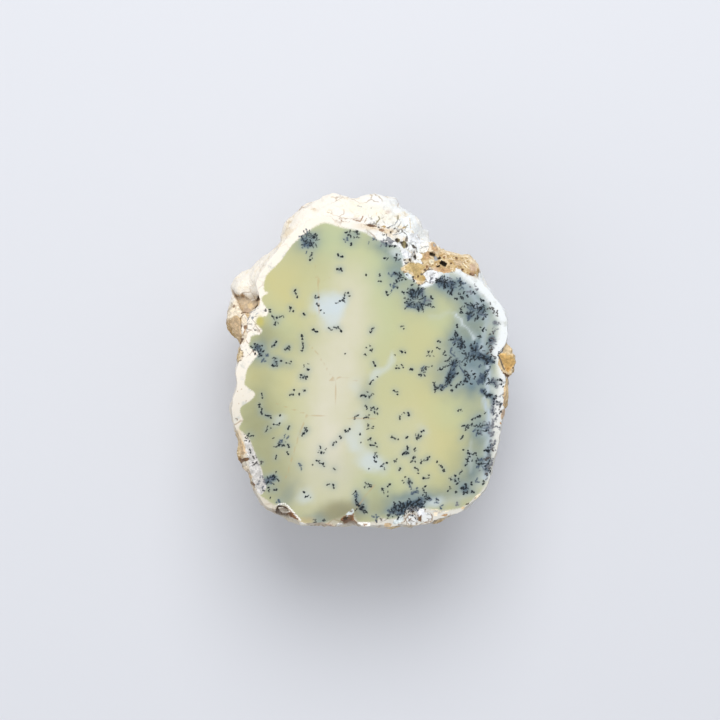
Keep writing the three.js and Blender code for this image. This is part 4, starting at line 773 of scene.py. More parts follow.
class NodeBench:
    """Adds nodes to one shader tree."""

    def __init__(self, tree: bpy.types.NodeTree) -> None:
        """Starts with an empty tree.

        Args:
            tree: The node tree to fill.
        """
        self.tree = tree
        tree.nodes.clear()

    def add(
        self, kind: str, inputs: Mapping[int | str, Any] | None = None, **settings: Any
    ) -> bpy.types.Node:
        """Adds one node with its settings, values and links.

        Args:
            kind: The node's type name.
            inputs: For each socket, by name or number, a value or the socket that feeds it.
            **settings: Properties of the node itself.

        Returns:
            The new node.
        """
        made = self.tree.nodes.new(kind)
        for name, value in settings.items():
            setattr(made, name, value)
        for name, value in (inputs or {}).items():
            if isinstance(value, bpy.types.NodeSocket):
                self.tree.links.new(value, made.inputs[name])
            else:
                made.inputs[name].default_value = value
        return made

    def read(self, name: str) -> Socket:
        """Reads one of the values stored on the mesh."""
        return self.add("ShaderNodeAttribute", attribute_name=name).outputs["Fac"]

    def math(self, operation: str, *operands: Socket | float, clamp: bool = False) -> Socket:
        """Works out one sum from sockets and numbers."""
        inputs = dict(enumerate(operands))
        return self.add("ShaderNodeMath", inputs, operation=operation, use_clamp=clamp).outputs[0]

    def fade(self, value: Socket, start: Any, end: Any, low: float = 0.0, high: float = 1.0) -> Socket:
        """Eases from one level to another while a value goes from start to end."""
        inputs = {"Value": value, "From Min": start, "From Max": end, "To Min": low, "To Max": high}
        return self.add("ShaderNodeMapRange", inputs, interpolation_type="SMOOTHSTEP").outputs[0]

    def mix(self, share: Socket | float, below: Socket | str, above: Socket | str) -> Socket:
        """Lays one colour over another, each a socket or an sRGB hex code."""
        under, over = (to_linear(c) if isinstance(c, str) else c for c in (below, above))
        return self.add("ShaderNodeMix", {0: share, 6: under, 7: over}, data_type="RGBA").outputs[2]

    def noise(self, place: Socket, size_mm: float, detail: float, roughness: float) -> bpy.types.Node:
        """Adds smooth noise with lumps of about one size."""
        inputs = {"Vector": place, "Scale": 1 / size_mm, "Detail": detail, "Roughness": roughness}
        return self.add("ShaderNodeTexNoise", inputs)

    def grains(self, place: Socket, size_mm: float) -> Socket:
        """Gives each small cell, like a grain of sand, its own value from 0 to 1."""
        cells = self.add("ShaderNodeTexVoronoi", {"Vector": place, "Scale": 1 / size_mm})
        return self.add("ShaderNodeSeparateColor", {0: cells.outputs["Color"]}).outputs[0]

    def cell_edges(self, place: Socket, size_mm: float) -> Socket:
        """Measures the distance to the edge between cells, as a share of their size."""
        inputs = {"Vector": place, "Scale": 1 / size_mm}
        return self.add("ShaderNodeTexVoronoi", inputs, feature="DISTANCE_TO_EDGE").outputs["Distance"]


def unit_share(value: float) -> float:
    """Limits a number to between 0 and 1."""
    return min(1.0, max(0.0, value))


def smooth_share(value: np.ndarray) -> np.ndarray:
    """Clamps values to 0 and 1 and eases them in between."""
    share = np.clip(value, 0, 1)
    return share * share * (3 - 2 * share)


def smooth_loop(points: Sequence[Sequence[float]], steps: int = 4) -> np.ndarray:
    """Rounds a closed line of points into a Catmull-Rom curve.

    Args:
        points: Rows of two or more values; the first two are the place.
        steps: New points for each old one.

    Returns:
        The rounded line, one row for each new point.
    """
    p = np.asarray(points, float)
    before, after, beyond = np.roll(p, 1, 0), np.roll(p, -1, 0), np.roll(p, -2, 0)
    rows = []
    for t in np.arange(steps) / steps:
        rows.append(
            0.5
            * (
                2 * p
                + (after - before) * t
                + (2 * before - 5 * p + 4 * after - beyond) * t * t
                + (3 * p - before - 3 * after + beyond) * t**3
            )
        )
    return np.stack(rows, 1).reshape(-1, p.shape[1])


def line_distance(points: np.ndarray, starts: np.ndarray, ends: np.ndarray) -> tuple[np.ndarray, np.ndarray]:
    """Measures how far points are from the nearest of many straight lines.

    Args:
        points: Places, one row each.
        starts: Where each line starts.
        ends: Where each line ends.

    Returns:
        The distance to the nearest line, and which line that is.
    """
    along = ends - starts
    length = np.maximum((along**2).sum(1), 1e-12)
    distance = np.empty(len(points))
    nearest = np.empty(len(points), int)
    block = 4000
    for low in range(0, len(points), block):
        part = points[low : low + block, None, :] - starts[None]
        share = np.clip((part * along).sum(2) / length, 0, 1)
        gap = np.linalg.norm(part - share[..., None] * along, axis=2)
        nearest[low : low + block] = gap.argmin(1)
        distance[low : low + block] = gap.min(1)
    return distance, nearest


def is_inside(points: np.ndarray, loop: np.ndarray) -> np.ndarray:
    """Tells which points lie inside a closed line.

    Args:
        points: Places, one row each.
        loop: The closed line, one row for each corner.

    Returns:
        True for each point inside.
    """
    inside = np.zeros(len(points), bool)
    x, y = points[:, 0], points[:, 1]
    for (x1, y1), (x2, y2) in zip(loop, np.roll(loop, -1, 0)):
        if y1 == y2:
            continue
        crosses = (y1 > y) != (y2 > y)
        inside ^= crosses & (x < (x2 - x1) * (y - y1) / (y2 - y1) + x1)
    return inside


def segments(lines: Iterable[Sequence[Point]]) -> tuple[np.ndarray, np.ndarray]:
    """Splits open lines into straight pieces.

    Args:
        lines: Lines of two or more points.

    Returns:
        Where each piece starts and where it ends.
    """
    pairs = [(a, b) for line in lines for a, b in zip(line, line[1:])]
    return np.array([a for a, _ in pairs], float), np.array([b for _, b in pairs], float)


def outline_depth(points: np.ndarray, outline: Sequence[Point], reach: float = 1.0) -> np.ndarray:
    """Measures how deep points are inside a closed line.

    Args:
        points: Places, one row each, of which only the first two values count.
        outline: The closed line.
        reach: How far outside it distances are still worked out.

    Returns:
        Distance to the line, less than zero outside and never less than the reach.
    """
    loop = np.asarray(outline, float)
    flat = points[:, :2]
    depth = np.full(len(points), -reach)
    near = ((flat > loop.min(0) - reach) & (flat < loop.max(0) + reach)).all(1)
    distance = line_distance(flat[near], loop, np.roll(loop, -1, 0))[0]
    depth[near] = np.where(is_inside(flat[near], loop), distance, np.maximum(-distance, -reach))
    return depth


def stroke_depth(
    points: np.ndarray, half_width: float, line: Sequence[Point], reach: float = 1.0
) -> np.ndarray:
    """Measures how deep points are inside a thin line, as outline_depth does for a closed one."""
    course = np.asarray(line, float)
    flat = points[:, :2]
    depth = np.full(len(points), -reach)
    near = ((flat > course.min(0) - reach) & (flat < course.max(0) + reach)).all(1)
    depth[near] = np.maximum(half_width - line_distance(flat[near], course[:-1], course[1:])[0], -reach)
    return depth


def patch_depth(points: np.ndarray, patches: Sequence[Sequence[float]]) -> np.ndarray:
    """Measures how deep points are inside the nearest of some ellipsoids.

    Args:
        points: Places in millimetres, with heights counted up from the table.
        patches: Middle, depth below the face and half sizes of each ellipsoid.

    Returns:
        Rough depth in millimetres, less than zero outside.
    """
    best = np.full(len(points), FAR_OUTSIDE_MM)
    for x, y, below, across, up, deep in patches:
        middle = np.array([x, y, FACE_HEIGHT_MM - below])
        half = np.array([across, up, deep])
        gap = np.linalg.norm((points - middle) / half, axis=1)
        best = np.maximum(best, (1 - gap) * half.min())
    return best


@dataclass
class DendriteGrower:
    """Grows the dendrites as knobbly chains of small round beads, from one seed."""

    seed: int = 7
    grain_mm: float = 0.185
    step_mm: float = 0.18
    branches_per_mm2: float = 1.6
    slate_share: float = 0.75
    arm_gap_mm: float = 0.95
    deep_share: float = 0.2
    grey_share: float = 0.06
    club: float = -0.5
    arm_share: float = 0.72
    beads: list[tuple[float, float, float, float, float]] = field(default_factory=list)

    def __post_init__(self) -> None:
        """Starts the random draws."""
        self.rng = random.Random(self.seed)

    def knot(self, x: float, y: float, size: float, tone: Tone) -> None:
        """Adds one knobbly grain, made of a few beads that overlap.

        Args:
            x: Its middle.
            y: Its middle.
            size: Its half width in millimetres.
            tone: How dark and how deep it lies.
        """
        for _ in range(self.rng.randint(1, 3)):
            away, around = self.rng.uniform(0.0, 0.7) * size, self.rng.uniform(0, math.tau)
            radius = size * self.rng.uniform(0.5, 0.85)
            self.beads.append(
                (x + away * math.cos(around), y + away * math.sin(around), radius, *tone.value)
            )

    def branch(
        self, x: float, y: float, heading: float, length: float, size: float, tone: Tone, forks: int = 1,
        taper: float = 0.4,
    ) -> None:
        """Grows one branch that wanders, narrows to its tip and throws out side twigs.

        Args:
            x: Where it starts.
            y: Where it starts.
            heading: Its direction in radians.
            length: Its length in millimetres.
            size: Its half width at the start.
            tone: How dark and how deep it lies.
            forks: How many times its twigs may fork again.
            taper: The share of its width that it loses by the tip; less than zero makes a club.
        """
        steps = max(2, round(length / self.step_mm))
        for i in range(steps):
            share = i / steps
            self.knot(x, y, size * (1 - taper * share), tone)
            if forks and self.rng.random() < 0.3:
                side = self.rng.choice((-1, 1)) * self.rng.uniform(0.6, 1.15)
                twig = length * (1 - share) * self.rng.uniform(0.35, 0.7)
                self.branch(x, y, heading + side, twig, size * 0.8, tone, forks - 1)
            heading += self.rng.gauss(0, 0.28)
            x += self.step_mm * math.cos(heading)
            y += self.step_mm * math.sin(heading)

    def moss(self, tuft: Blob, tone: Tone) -> None:
        """Fills an ellipse with short branches that mostly point outwards.

        Args:
            tuft: Middle, half width, half height and turn in degrees.
            tone: How dark and how deep it lies.
        """
        x, y, across, up, turn = tuft
        angle = math.radians(turn)
        dense = self.branches_per_mm2 * (self.slate_share if tone is Tone.SLATE else 1.0)
        count = round(2 + dense * across * up * math.pi)
        for _ in range(count):
            around = self.rng.uniform(0, math.tau)
            out = math.sqrt(self.rng.random())
            u, v = 0.85 * across * out * math.cos(around), 0.85 * up * out * math.sin(around)
            dx = u * math.cos(angle) - v * math.sin(angle)
            dy = u * math.sin(angle) + v * math.cos(angle)
            heading = math.atan2(dy, dx) + self.rng.gauss(0, 0.6)
            length = self.rng.uniform(0.3, 0.95) * min(1.2, 0.55 + 0.4 * min(across, up))
            size = self.grain_mm * self.rng.uniform(0.75, 1.25)
            self.branch(x + dx, y + dy, heading, length, size, tone, taper=self.rng.uniform(-0.3, 0.5))

    def fan(self, root: Blob) -> None:
        """Grows arms out of one root, thin at first and clubbed at their tips.

        Args:
            root: Its place, middle heading and spread in degrees, and the arms' reach.
        """
        x, y, heading, spread, reach = root
        arms = max(5, round(reach * math.radians(spread) / self.arm_gap_mm))
        for i in range(arms):
            share = (i + self.rng.uniform(0.0, 1.0)) / arms - 0.5
            way = math.radians(heading + spread * share)
            far = reach * self.rng.uniform(0.55, 1.1)
            near = far * (self.rng.uniform(0.12, 0.3) if i % 2 else self.rng.uniform(0.4, 0.6))
            draw = self.rng.random()
            tone = Tone.BLACK
            if draw < self.deep_share:
                tone = Tone.SLATE
            elif draw > 1 - self.grey_share:
                tone = Tone.GREY
            ax, ay = x + near * math.cos(way), y + near * math.sin(way)
            self.branch(ax, ay, way, far - near, self.arm_share * self.grain_mm, tone, 1, self.club)

    def strand(self, line: Sequence[Point], tone: Tone) -> None:
        """Grows knots along a short line, thin links between them and a few twigs.

        Args:
            line: One to four points.
            tone: How dark and how deep it lies.
        """
        for x, y in line:
            self.knot(x, y, self.rng.uniform(0.22, 0.34), tone)
            for _ in range(self.rng.randint(1, 2)):
                heading = self.rng.uniform(0, math.tau)
                self.branch(x, y, heading, self.rng.uniform(0.2, 0.6), self.grain_mm * 0.8, tone, forks=0)
        for (ax, ay), (bx, by) in zip(line, line[1:]):
            heading, length = math.atan2(by - ay, bx - ax), math.dist((ax, ay), (bx, by))
            self.branch(ax, ay, heading, length, self.grain_mm, tone, forks=1, taper=0.2)

    def grow(self) -> list[tuple[float, float, float, float, float]]:
        """Grows every dendrite on the face.

        Returns:
            Place, radius, tone and blur of every bead.
        """
        for tufts, tone in (
            (SLATE_MOSS, Tone.SLATE),
            (GREY_MOSS, Tone.GREY),
            (RUSTY_MOSS, Tone.RUSTY),
            (BLACK_MOSS, Tone.BLACK),
        ):
            for tuft in tufts:
                self.moss(tuft, tone)
        for root in FANS:
            self.fan(root)
        for line in STRANDS:
            self.strand(line, Tone.BLACK)
        return self.beads


@dataclass
class Glow:
    """The slate-blue cloudiness round the dendrites: how crowded their beads are, as a small map."""

    beads: np.ndarray
    cell_mm: float = 0.25
    spread_mm: float = 0.62
    half_mm: float = 44.0
    kernel_cells: int = 12

    def __post_init__(self) -> None:
        """Counts the beads' area in each cell of the map and spreads it out softly."""
        cells = round(2 * self.half_mm / self.cell_mm)
        edges = np.linspace(-self.half_mm, self.half_mm, cells + 1)
        area = math.pi * self.beads[:, 2] ** 2
        self.map = np.histogram2d(self.beads[:, 0], self.beads[:, 1], [edges, edges], weights=area)[0]
        steps = np.arange(-self.kernel_cells, self.kernel_cells + 1) * self.cell_mm
        kernel = np.exp(-((steps / self.spread_mm) ** 2) / 2)
        kernel /= kernel.sum() * self.cell_mm
        for axis in (0, 1):
            self.map = np.apply_along_axis(lambda row: np.convolve(row, kernel, "same"), axis, self.map)

    def at(self, points: np.ndarray) -> np.ndarray:
        """Reads the map between its cells.

        Args:
            points: Places on the face in millimetres.

        Returns:
            Roughly the share of the surface that beads cover near each point.
        """
        place = (points[:, :2] + self.half_mm) / self.cell_mm - 0.5
        low = np.clip(place.astype(int), 0, len(self.map) - 2)
        share = np.clip(place - low, 0, 1)
        i, j, u, v = low[:, 0], low[:, 1], share[:, 0], share[:, 1]
        return (
            self.map[i, j] * (1 - u) * (1 - v)
            + self.map[i + 1, j] * u * (1 - v)
            + self.map[i, j + 1] * (1 - u) * v
            + self.map[i + 1, j + 1] * u * v
        )


class FacePattern:
    """All that is drawn on the stone, as values worked out for any point of it.

    What is drawn on the rough side as seen from above ends at a depth below the face. That depth
    is small at the lower row, where the side is steep, and larger from the upper row on.
    """

    noise_seed = 1
    paint_rows_mm = (-26.0, -6.0)
    paint_depths_mm = (4.5, 16.0)
    swell_mm = 0.09
    relief_edge_mm = 0.35
    vein_limit_mm = 0.6
    nearest_beads = 6
    milk_edge_mm = 1.25
    glow_from, glow_span = 0.35, 1.3
    crack_bend = 0.2
    fog_strength, fog_depth_mm, fog_spread_mm = 0.8, 0.6, 1.1

    def __init__(self) -> None:
        """Fixes the noise, grows the dendrites and rounds the outline of the opal."""
        noise.seed_set(self.noise_seed)
        self.beads = np.array(DendriteGrower().grow())
        self.glow = Glow(self.beads)
        self.tree = kdtree.KDTree(len(self.beads))
        for i, bead in enumerate(self.beads):
            self.tree.insert((bead[0], bead[1], 0.0), i)
        self.tree.balance()
        edges = (("top", TOP_EDGE), ("right", RIGHT_EDGE), ("bottom", BOTTOM_EDGE), ("left", LEFT_EDGE))
        outline = [(x, y, MELT_MM[name]) for name, line in edges for x, y in line]
        self.outline = smooth_loop(outline)
        self.opal_cracks = segments(OPAL_CRACKS)

    def dendrite(self, points: np.ndarray) -> tuple[np.ndarray, np.ndarray, np.ndarray]:
        """Measures the distance to the nearest dendrite.

        Args:
            points: Places on the face in millimetres.

        Returns:
            Distance to its edge, less than zero inside it, and its tone and blur.
        """
        found = np.empty((len(points), 3))
        for i, (x, y) in enumerate(points[:, :2]):
            hits = self.tree.find_n((x, y, 0.0), self.nearest_beads)
            gap, best = min((hit[2] - self.beads[hit[1], 2], hit[1]) for hit in hits)
            found[i] = gap, self.beads[best, 3], self.beads[best, 4]
        return found[:, 0], found[:, 1], found[:, 2]

    def opal_depth(self, points: np.ndarray) -> tuple[np.ndarray, np.ndarray]:
        """Measures how far inside the clear opal points are.

        Args:
            points: Places on the face in millimetres.

        Returns:
            Distance to the rind, less than zero in the rind, and half the width of that edge.
        """
        loop = self.outline[:, :2]
        distance, nearest = line_distance(points[:, :2], loop, np.roll(loop, -1, 0))
        sign = np.where(is_inside(points[:, :2], loop), 1.0, -1.0)
        return distance * sign, self.outline[nearest, 2]

    def knob_depth(self, points: np.ndarray) -> np.ndarray:
        """Measures how deep points are inside the nearest white knob, less than zero outside."""
        gaps = [r - np.hypot(points[:, 0] - x, points[:, 1] - y) for x, y, r in KNOBS]
        return np.max(gaps, axis=0)

    def bent(self, points: np.ndarray) -> np.ndarray:
        """Moves points a little by noise, so that what is looked up there gets uneven shapes."""
        slow_mm, slow_shift_mm = 7.0, 1.5
        quick_mm, quick_shift_mm = 1.9, 0.7
        rows = [
            slow_shift_mm * noise.noise_vector(p / slow_mm)
            + quick_shift_mm * noise.noise_vector(p / quick_mm)
            for p in map(Vector, points)
        ]
        return points + np.array(rows)

    def values(self, points: np.ndarray, on_face: np.ndarray) -> dict[str, np.ndarray]:
        """Works out every value that the stone's material reads.

        Args:
            points: Places in millimetres, with heights counted up from the table.
            on_face: True for the points of the polished face.

        Returns:
            One array of values for each attribute name.
        """
        flat = points[on_face]
        bent = self.bent(flat)
        depth, melt = self.opal_depth(flat)
        gap, tone, blur = self.dendrite(flat)
        cover = self.glow.at(flat)
        rim_fog = np.exp(-(((depth - self.fog_depth_mm) / self.fog_spread_mm) ** 2))
        rim_fog *= self.fog_strength * (melt > 1)
        layers = {name: [zone.cloud(bent) for zone in zones] for name, zones in CLOUDS.items()}
        layers["milk"] = [zone.patch(bent, self.milk_edge_mm) for zone in MILK_ZONES]
        layers["milk"] += [streak.band(bent) for streak in MILK_STREAKS]
        layers["fog"] = [streak.band(bent) for streak in FOG_STREAKS] + [rim_fog]
        slightly_bent = (1 - self.crack_bend) * flat + self.crack_bend * bent
        drawn = {
            "opal_depth": (depth, -6.0),
            "melt": (melt, 0.3),
            "dendrite": (gap, 2.0),
            "tone": (tone, 0.0),
            "blur": (blur, 0.1),
            "haze": (1 - np.exp(-cover), 0.0),
            "glow": (smooth_share((cover - self.glow_from) / self.glow_span), 0.0),
            "opal_crack": (line_distance(slightly_bent[:, :2], *self.opal_cracks)[0], 2.0),
            **{name: (1 - np.prod([1 - a for a in parts], axis=0), 0.0) for name, parts in layers.items()},
        }
        table = {}
        for name, (values, elsewhere) in drawn.items():
            table[name] = np.full(len(points), elsewhere)
            table[name][on_face] = values
        table["knob"] = self.knob_depth(points)
        table["host"] = patch_depth(points, HOST_PATCHES)
        table["crumble"] = patch_depth(points, CRUMBLES)
        return table

    def seen(self, points: np.ndarray) -> np.ndarray:
        """How much of the drawing each point still gets, less the further it is below the face."""
        reach = np.interp(points[:, 1], self.paint_rows_mm, self.paint_depths_mm)
        return smooth_share((points[:, 2] - FACE_HEIGHT_MM) / reach + 1)

    def paint(self, points: np.ndarray) -> np.ndarray:
        """Lays the soft spots of colour over each other.

        Args:
            points: Places in millimetres, with heights counted up from the table.

        Returns:
            For each point the spots' colour, already weakened by their strength, and that strength.
        """
        quick_mm, shift_mm = 1.3, 0.35
        bent = points + shift_mm * np.array([noise.noise_vector(Vector(p) / quick_mm) for p in points])
        painted = np.zeros((len(points), 4))
        seen = self.seen(points)
        for x, y, across, up, turn, soft, strength, tint in SPOTS:
            share = (Zone(x, y, across, up, turn, strength).patch(bent, soft) * seen)[:, None]
            painted = painted * (1 - share) + share * np.array(to_linear(tint.value))
        return painted

    def drawn_depth(self, points: np.ndarray, name: str) -> tuple[np.ndarray, np.ndarray]:
        """Measures how deep points are inside the plates, or inside the flecks and strokes.

        Args:
            points: Places in millimetres.
            name: Either "plate" or "fleck".

        Returns:
            Depth in millimetres, less than zero outside, and the colour there with its strength.
        """
        if name == "plate":
            shapes = [(tint, outline_depth(points, outline)) for tint, outline in PLATES]
        else:
            shapes = [(tint, outline_depth(points, outline)) for tint, outline in FLECKS]
            shapes = [(tint, depth + self.swell_mm) for tint, depth in shapes]
            shapes += [(tint, stroke_depth(points, half, line)) for tint, half, line in STROKES]
        depth = np.full(len(points), -1.0)
        colour = np.zeros((len(points), 4))
        for tint, inside in shapes:
            colour[(inside > 0) | (inside > depth)] = to_linear(tint.value)
            depth = np.maximum(depth, inside)
        colour[:, 3] *= self.seen(points)
        return depth, colour

    def relief(self, points: np.ndarray) -> np.ndarray:
        """How far pits and crumbs move each point down or up, in millimetres."""
        moved = np.zeros(len(points))
        for tint, outline in PLATES + FLECKS:
            if tint in RELIEF_MM:
                share = smooth_share((outline_depth(points, outline) + 0.1) / self.relief_edge_mm)
                moved = moved * (1 - share) + share * RELIEF_MM[tint]
        return moved * self.seen(points)

    def spot_edges(self, points: np.ndarray) -> np.ndarray:
        """Measures how far points are from the nearest edge of a plate, fleck, stroke or thin vein."""
        veins = segments([s.line for s in MILK_STREAKS if s.half_width < self.vein_limit_mm])
        gaps = [np.abs(self.drawn_depth(points, name)[0]) for name in ("plate", "fleck")]
        return np.min([*gaps, line_distance(points[:, :2], *veins)[0]], axis=0)


@dataclass
class PolishedNodule:
    """The stone as one closed mesh: rough rind and host rock, and a flat polished face."""

    pattern: FacePattern
    voxel_mm: float = 0.65
    crown_mm: float = 3.0
    face_grid_mm: float = 0.7
    fine_steps_mm: tuple[float, ...] = (0.36, 0.19)
    border_step_mm: float = 0.3
    border_reach: float = 1.2
    wide_edge: float = 1.15
    fine_depth_mm: float = 12.0
    drawn_band_mm: float = 0.35
    facet_edge_mm: float = 0.4
    ring_mm: float = 0.9
    rim_band_mm: float = 1.2
    rim_share: float = 0.55
    host_swell_mm: float = 9.0
    back_host_limit: float = 0.16
    back_from_mm: float = 13.0
    back_ease_mm: float = 5.0
    host_blend_mm: float = 0.8
    crumb_blend_mm: float = 1.2
    foot_mm: float = 0.6
    hollow: tuple[float, ...] = (-29.4, 13.6, 5.0, 5.0, 3.9, 6.4)
    hollow_passes: int = 40
    flank_from_mm: Point = (8.5, 27.6)
    flank_to_mm: float = 36.8
    flank_foot_mm: float = 8.0
    flank_rise_mm: float = 12.0
    flank_trim_mm: float = 0.85
    flank_passes: int = 8
    notch_mm: Point = (8.4, 36.9)
    notch_reach_mm: float = 4.2
    notch_ease_mm: float = 3.0
    notch_pull_mm: float = 1.05

    def face_place(self, co: Vector) -> Vector:
        """Turns a place in metres into millimetres as the drawing counts them."""
        return Vector((co.x / MM - FACE_SHIFT_MM[0], co.y / MM - FACE_SHIFT_MM[1], co.z / MM))

    def node_copy(self, node: bpy.types.Object) -> bpy.types.Object:
        """Copies the CAD solid and raises its flat face, so that the saw can cut it again later.

        Args:
            node: The CAD node.

        Returns:
            A new object with the taller solid.
        """
        bm = bmesh.new()
        bm.from_mesh(node.data)
        bmesh.ops.remove_doubles(bm, verts=bm.verts, dist=1e-6)
        flat_height = (FACE_HEIGHT_MM - 0.1) * MM
        top = [f for f in bm.faces if f.normal.z > 0.99 and f.calc_center_median().z > flat_height]
        raised = bmesh.ops.extrude_face_region(bm, geom=top)
        corners = [g for g in raised["geom"] if isinstance(g, bmesh.types.BMVert)]
        bmesh.ops.translate(bm, verts=corners, vec=(0, 0, self.crown_mm * MM))
        bmesh.ops.delete(bm, geom=top, context="FACES")
        bmesh.ops.recalc_face_normals(bm, faces=bm.faces)
        mesh = bpy.data.meshes.new(PIECE)
        bm.to_mesh(mesh)
        bm.free()
        piece = bpy.data.objects.new(PIECE, mesh)
        bpy.context.scene.collection.objects.link(piece)
        return piece

    def remesh(self, piece: bpy.types.Object) -> None:
        """Gives the solid even small faces, and applies the result to its mesh."""
        modifier = piece.modifiers.new("even_faces", "REMESH")
        modifier.mode = "VOXEL"
        modifier.voxel_size = self.voxel_mm * MM
        depsgraph = bpy.context.evaluated_depsgraph_get()
        even = bpy.data.meshes.new_from_object(piece.evaluated_get(depsgraph))
        piece.modifiers.clear()
        rough, piece.data = piece.data, even
        bpy.data.meshes.remove(rough)
        even.name = PIECE

    def back_host(self, p: Vector) -> float:
        """Depth inside the host rock that clings to the unseen sides, in millimetres."""
        patch_mm, offset = 17.0, Vector((3.1, 7.7, 1.9))
        swell = noise.fractal(p / patch_mm + offset, 1.0, 2.0, 3)
        below = FACE_HEIGHT_MM - p.z
        share = unit_share((below - self.back_from_mm) / self.back_ease_mm)
        return self.host_swell_mm * (swell - self.back_host_limit) * share

    def rind_height(self, p: Vector) -> float:
        """Height of the white rind's own relief at a point, in millimetres."""
        lump_mm, plate_mm, grain_mm, gate_mm = 3.4, 9.5, 1.7, 11.0
        dome_mm, crease_mm, split_mm, rough_mm = 0.30, 0.16, 0.34, 0.13
        crease_share, split_share = 0.10, 0.045
        bent = p + 0.8 * noise.noise_vector(p / 2.2)
        near, next_near = noise.voronoi(bent / lump_mm)[0][:2]
        dome = dome_mm * (0.45 - near)
        crease = -crease_mm * max(0.0, 1 - (next_near - near) / crease_share)
        swept = p + 1.6 * noise.noise_vector(p / 5.0)
        split_near, split_next = noise.voronoi(swept / plate_mm)[0][:2]
        gate = unit_share(0.5 + 2.2 * noise.noise(p / gate_mm + Vector((9, 2, 4))))
        split = -split_mm * gate * max(0.0, 1 - (split_next - split_near) / split_share)
        grain = rough_mm * noise.fractal(p / grain_mm, 0.9, 2.1, 3)
        return dome + crease + split + grain

    def crumb_height(self, p: Vector) -> float:
        """Height of the crumbs that the rind is broken into in places, in millimetres."""
        crumb_mm, tilt_mm, dome_mm, crease_mm = 1.9, 0.4, 0.35, 0.5
        crease_share, scatter = 0.3, 7.3
        distances, places = noise.voronoi((p + 0.5 * noise.noise_vector(p / 1.1)) / crumb_mm)
        crease = max(0.0, 1 - (distances[1] - distances[0]) / crease_share)
        tilt = tilt_mm * noise.noise(places[0] * scatter)
        return tilt + dome_mm * (0.4 - distances[0]) - crease_mm * crease

    def host_height(self, p: Vector) -> float:
        """Height of the sandy host rock's own relief at a point, in millimetres."""
        lump_mm, grain_mm, hole_mm = 2.8, 0.8, 2.7
        lump_rise_mm, grain_rise_mm, hole_share = 0.55, 0.2, 0.27
        lumps = lump_rise_mm * noise.fractal(p / lump_mm + Vector((5, 5, 5)), 0.8, 2.0, 3)
        grains = grain_rise_mm * (0.5 - noise.voronoi(p / grain_mm)[0][0])
        hole = noise.voronoi(p / hole_mm + Vector((1, 8, 3)))[0][0]
        return lumps + grains - max(0.0, hole_share - hole) / hole_share

    def refine_rough(self, bm: bmesh.types.BMesh) -> None:
        """Halves the faces of the rough side where crumbs and host rock are seen from above."""
        bm.normal_update()
        middles = np.array([self.face_place(f.calc_center_median()) for f in bm.faces])
        rough = np.maximum(patch_depth(middles, CRUMBLES), patch_depth(middles, HOST_PATCHES))
        below = FACE_HEIGHT_MM - middles[:, 2]
        upward = np.array([f.normal.z > 0.05 for f in bm.faces])
        chosen = upward & (rough > -0.6) & (below > -0.8) & (below < self.fine_depth_mm)
        self.halve(bm, [f for f, c in zip(bm.faces, chosen) if c])
        bm.normal_update()
        faces = [f for f in bm.faces if f.normal.z > 0.2]
        middles = np.array([self.face_place(f.calc_center_median()) for f in faces])
        below = FACE_HEIGHT_MM - middles[:, 2]
        drawn = self.pattern.spot_edges(middles) < self.drawn_band_mm
        self.halve(bm, [f for f, c in zip(faces, drawn & (below > -0.5) & (below < self.fine_depth_mm)) if c])
        bm.normal_update()

    def halve(self, bm: bmesh.types.BMesh, faces: list[bmesh.types.BMFace]) -> None:
        """Cuts the edges of some faces in two and closes what lies next to them."""
        edges = dict.fromkeys(e for f in faces for e in f.edges)
        bmesh.ops.subdivide_edges(bm, edges=list(edges), cuts=1, use_grid_fill=True)
        bmesh.ops.triangulate(bm, faces=[f for f in bm.faces if len(f.verts) > 4])

    def lay_facets(self, bm: bmesh.types.BMesh) -> None:
        """Flattens the facets of the host rock and lays the floor of the hollow."""
        lowest = FACE_HEIGHT_MM - self.pattern.paint_depths_mm[1]
        verts = [v for v in bm.verts if v.normal.z > 0.1 and lowest < v.co.z / MM < FACE_HEIGHT_MM - 0.3]
        places = np.array([self.face_place(v.co) for v in verts])
        base = np.c_[places[:, :2], np.ones(len(places))]
        for outline, sunk in FACETS:
            depth = outline_depth(places, outline)
            guide = (depth > -self.ring_mm) & (depth < 0) if sunk else depth > 0
            plane = base @ np.linalg.lstsq(base[guide], places[guide, 2], rcond=None)[0] - sunk
            share = smooth_share(0.5 + depth / (2 * self.facet_edge_mm))
            places[:, 2] += share * (plane - places[:, 2])
        for vert, place in zip(verts, places):
            vert.co.z = place[2] * MM

    def soften_hollow(self, bm: bmesh.types.BMesh) -> None:
        """Eases the walls of the hollow on the left, so that light falls into it."""
        depth = patch_depth(np.array([self.face_place(v.co) for v in bm.verts]), [self.hollow])
        inside = [v for v, d in zip(bm.verts, depth) if d > 0]
        self.relax(bm, inside, self.hollow_passes)

    def relax(self, bm: bmesh.types.BMesh, verts: list[bmesh.types.BMVert], passes: int) -> None:
        """Smooths part of the surface a number of times."""
        for _ in range(passes):
            bmesh.ops.smooth_vert(
                bm, verts=verts, factor=0.5, use_axis_x=True, use_axis_y=True, use_axis_z=True
            )

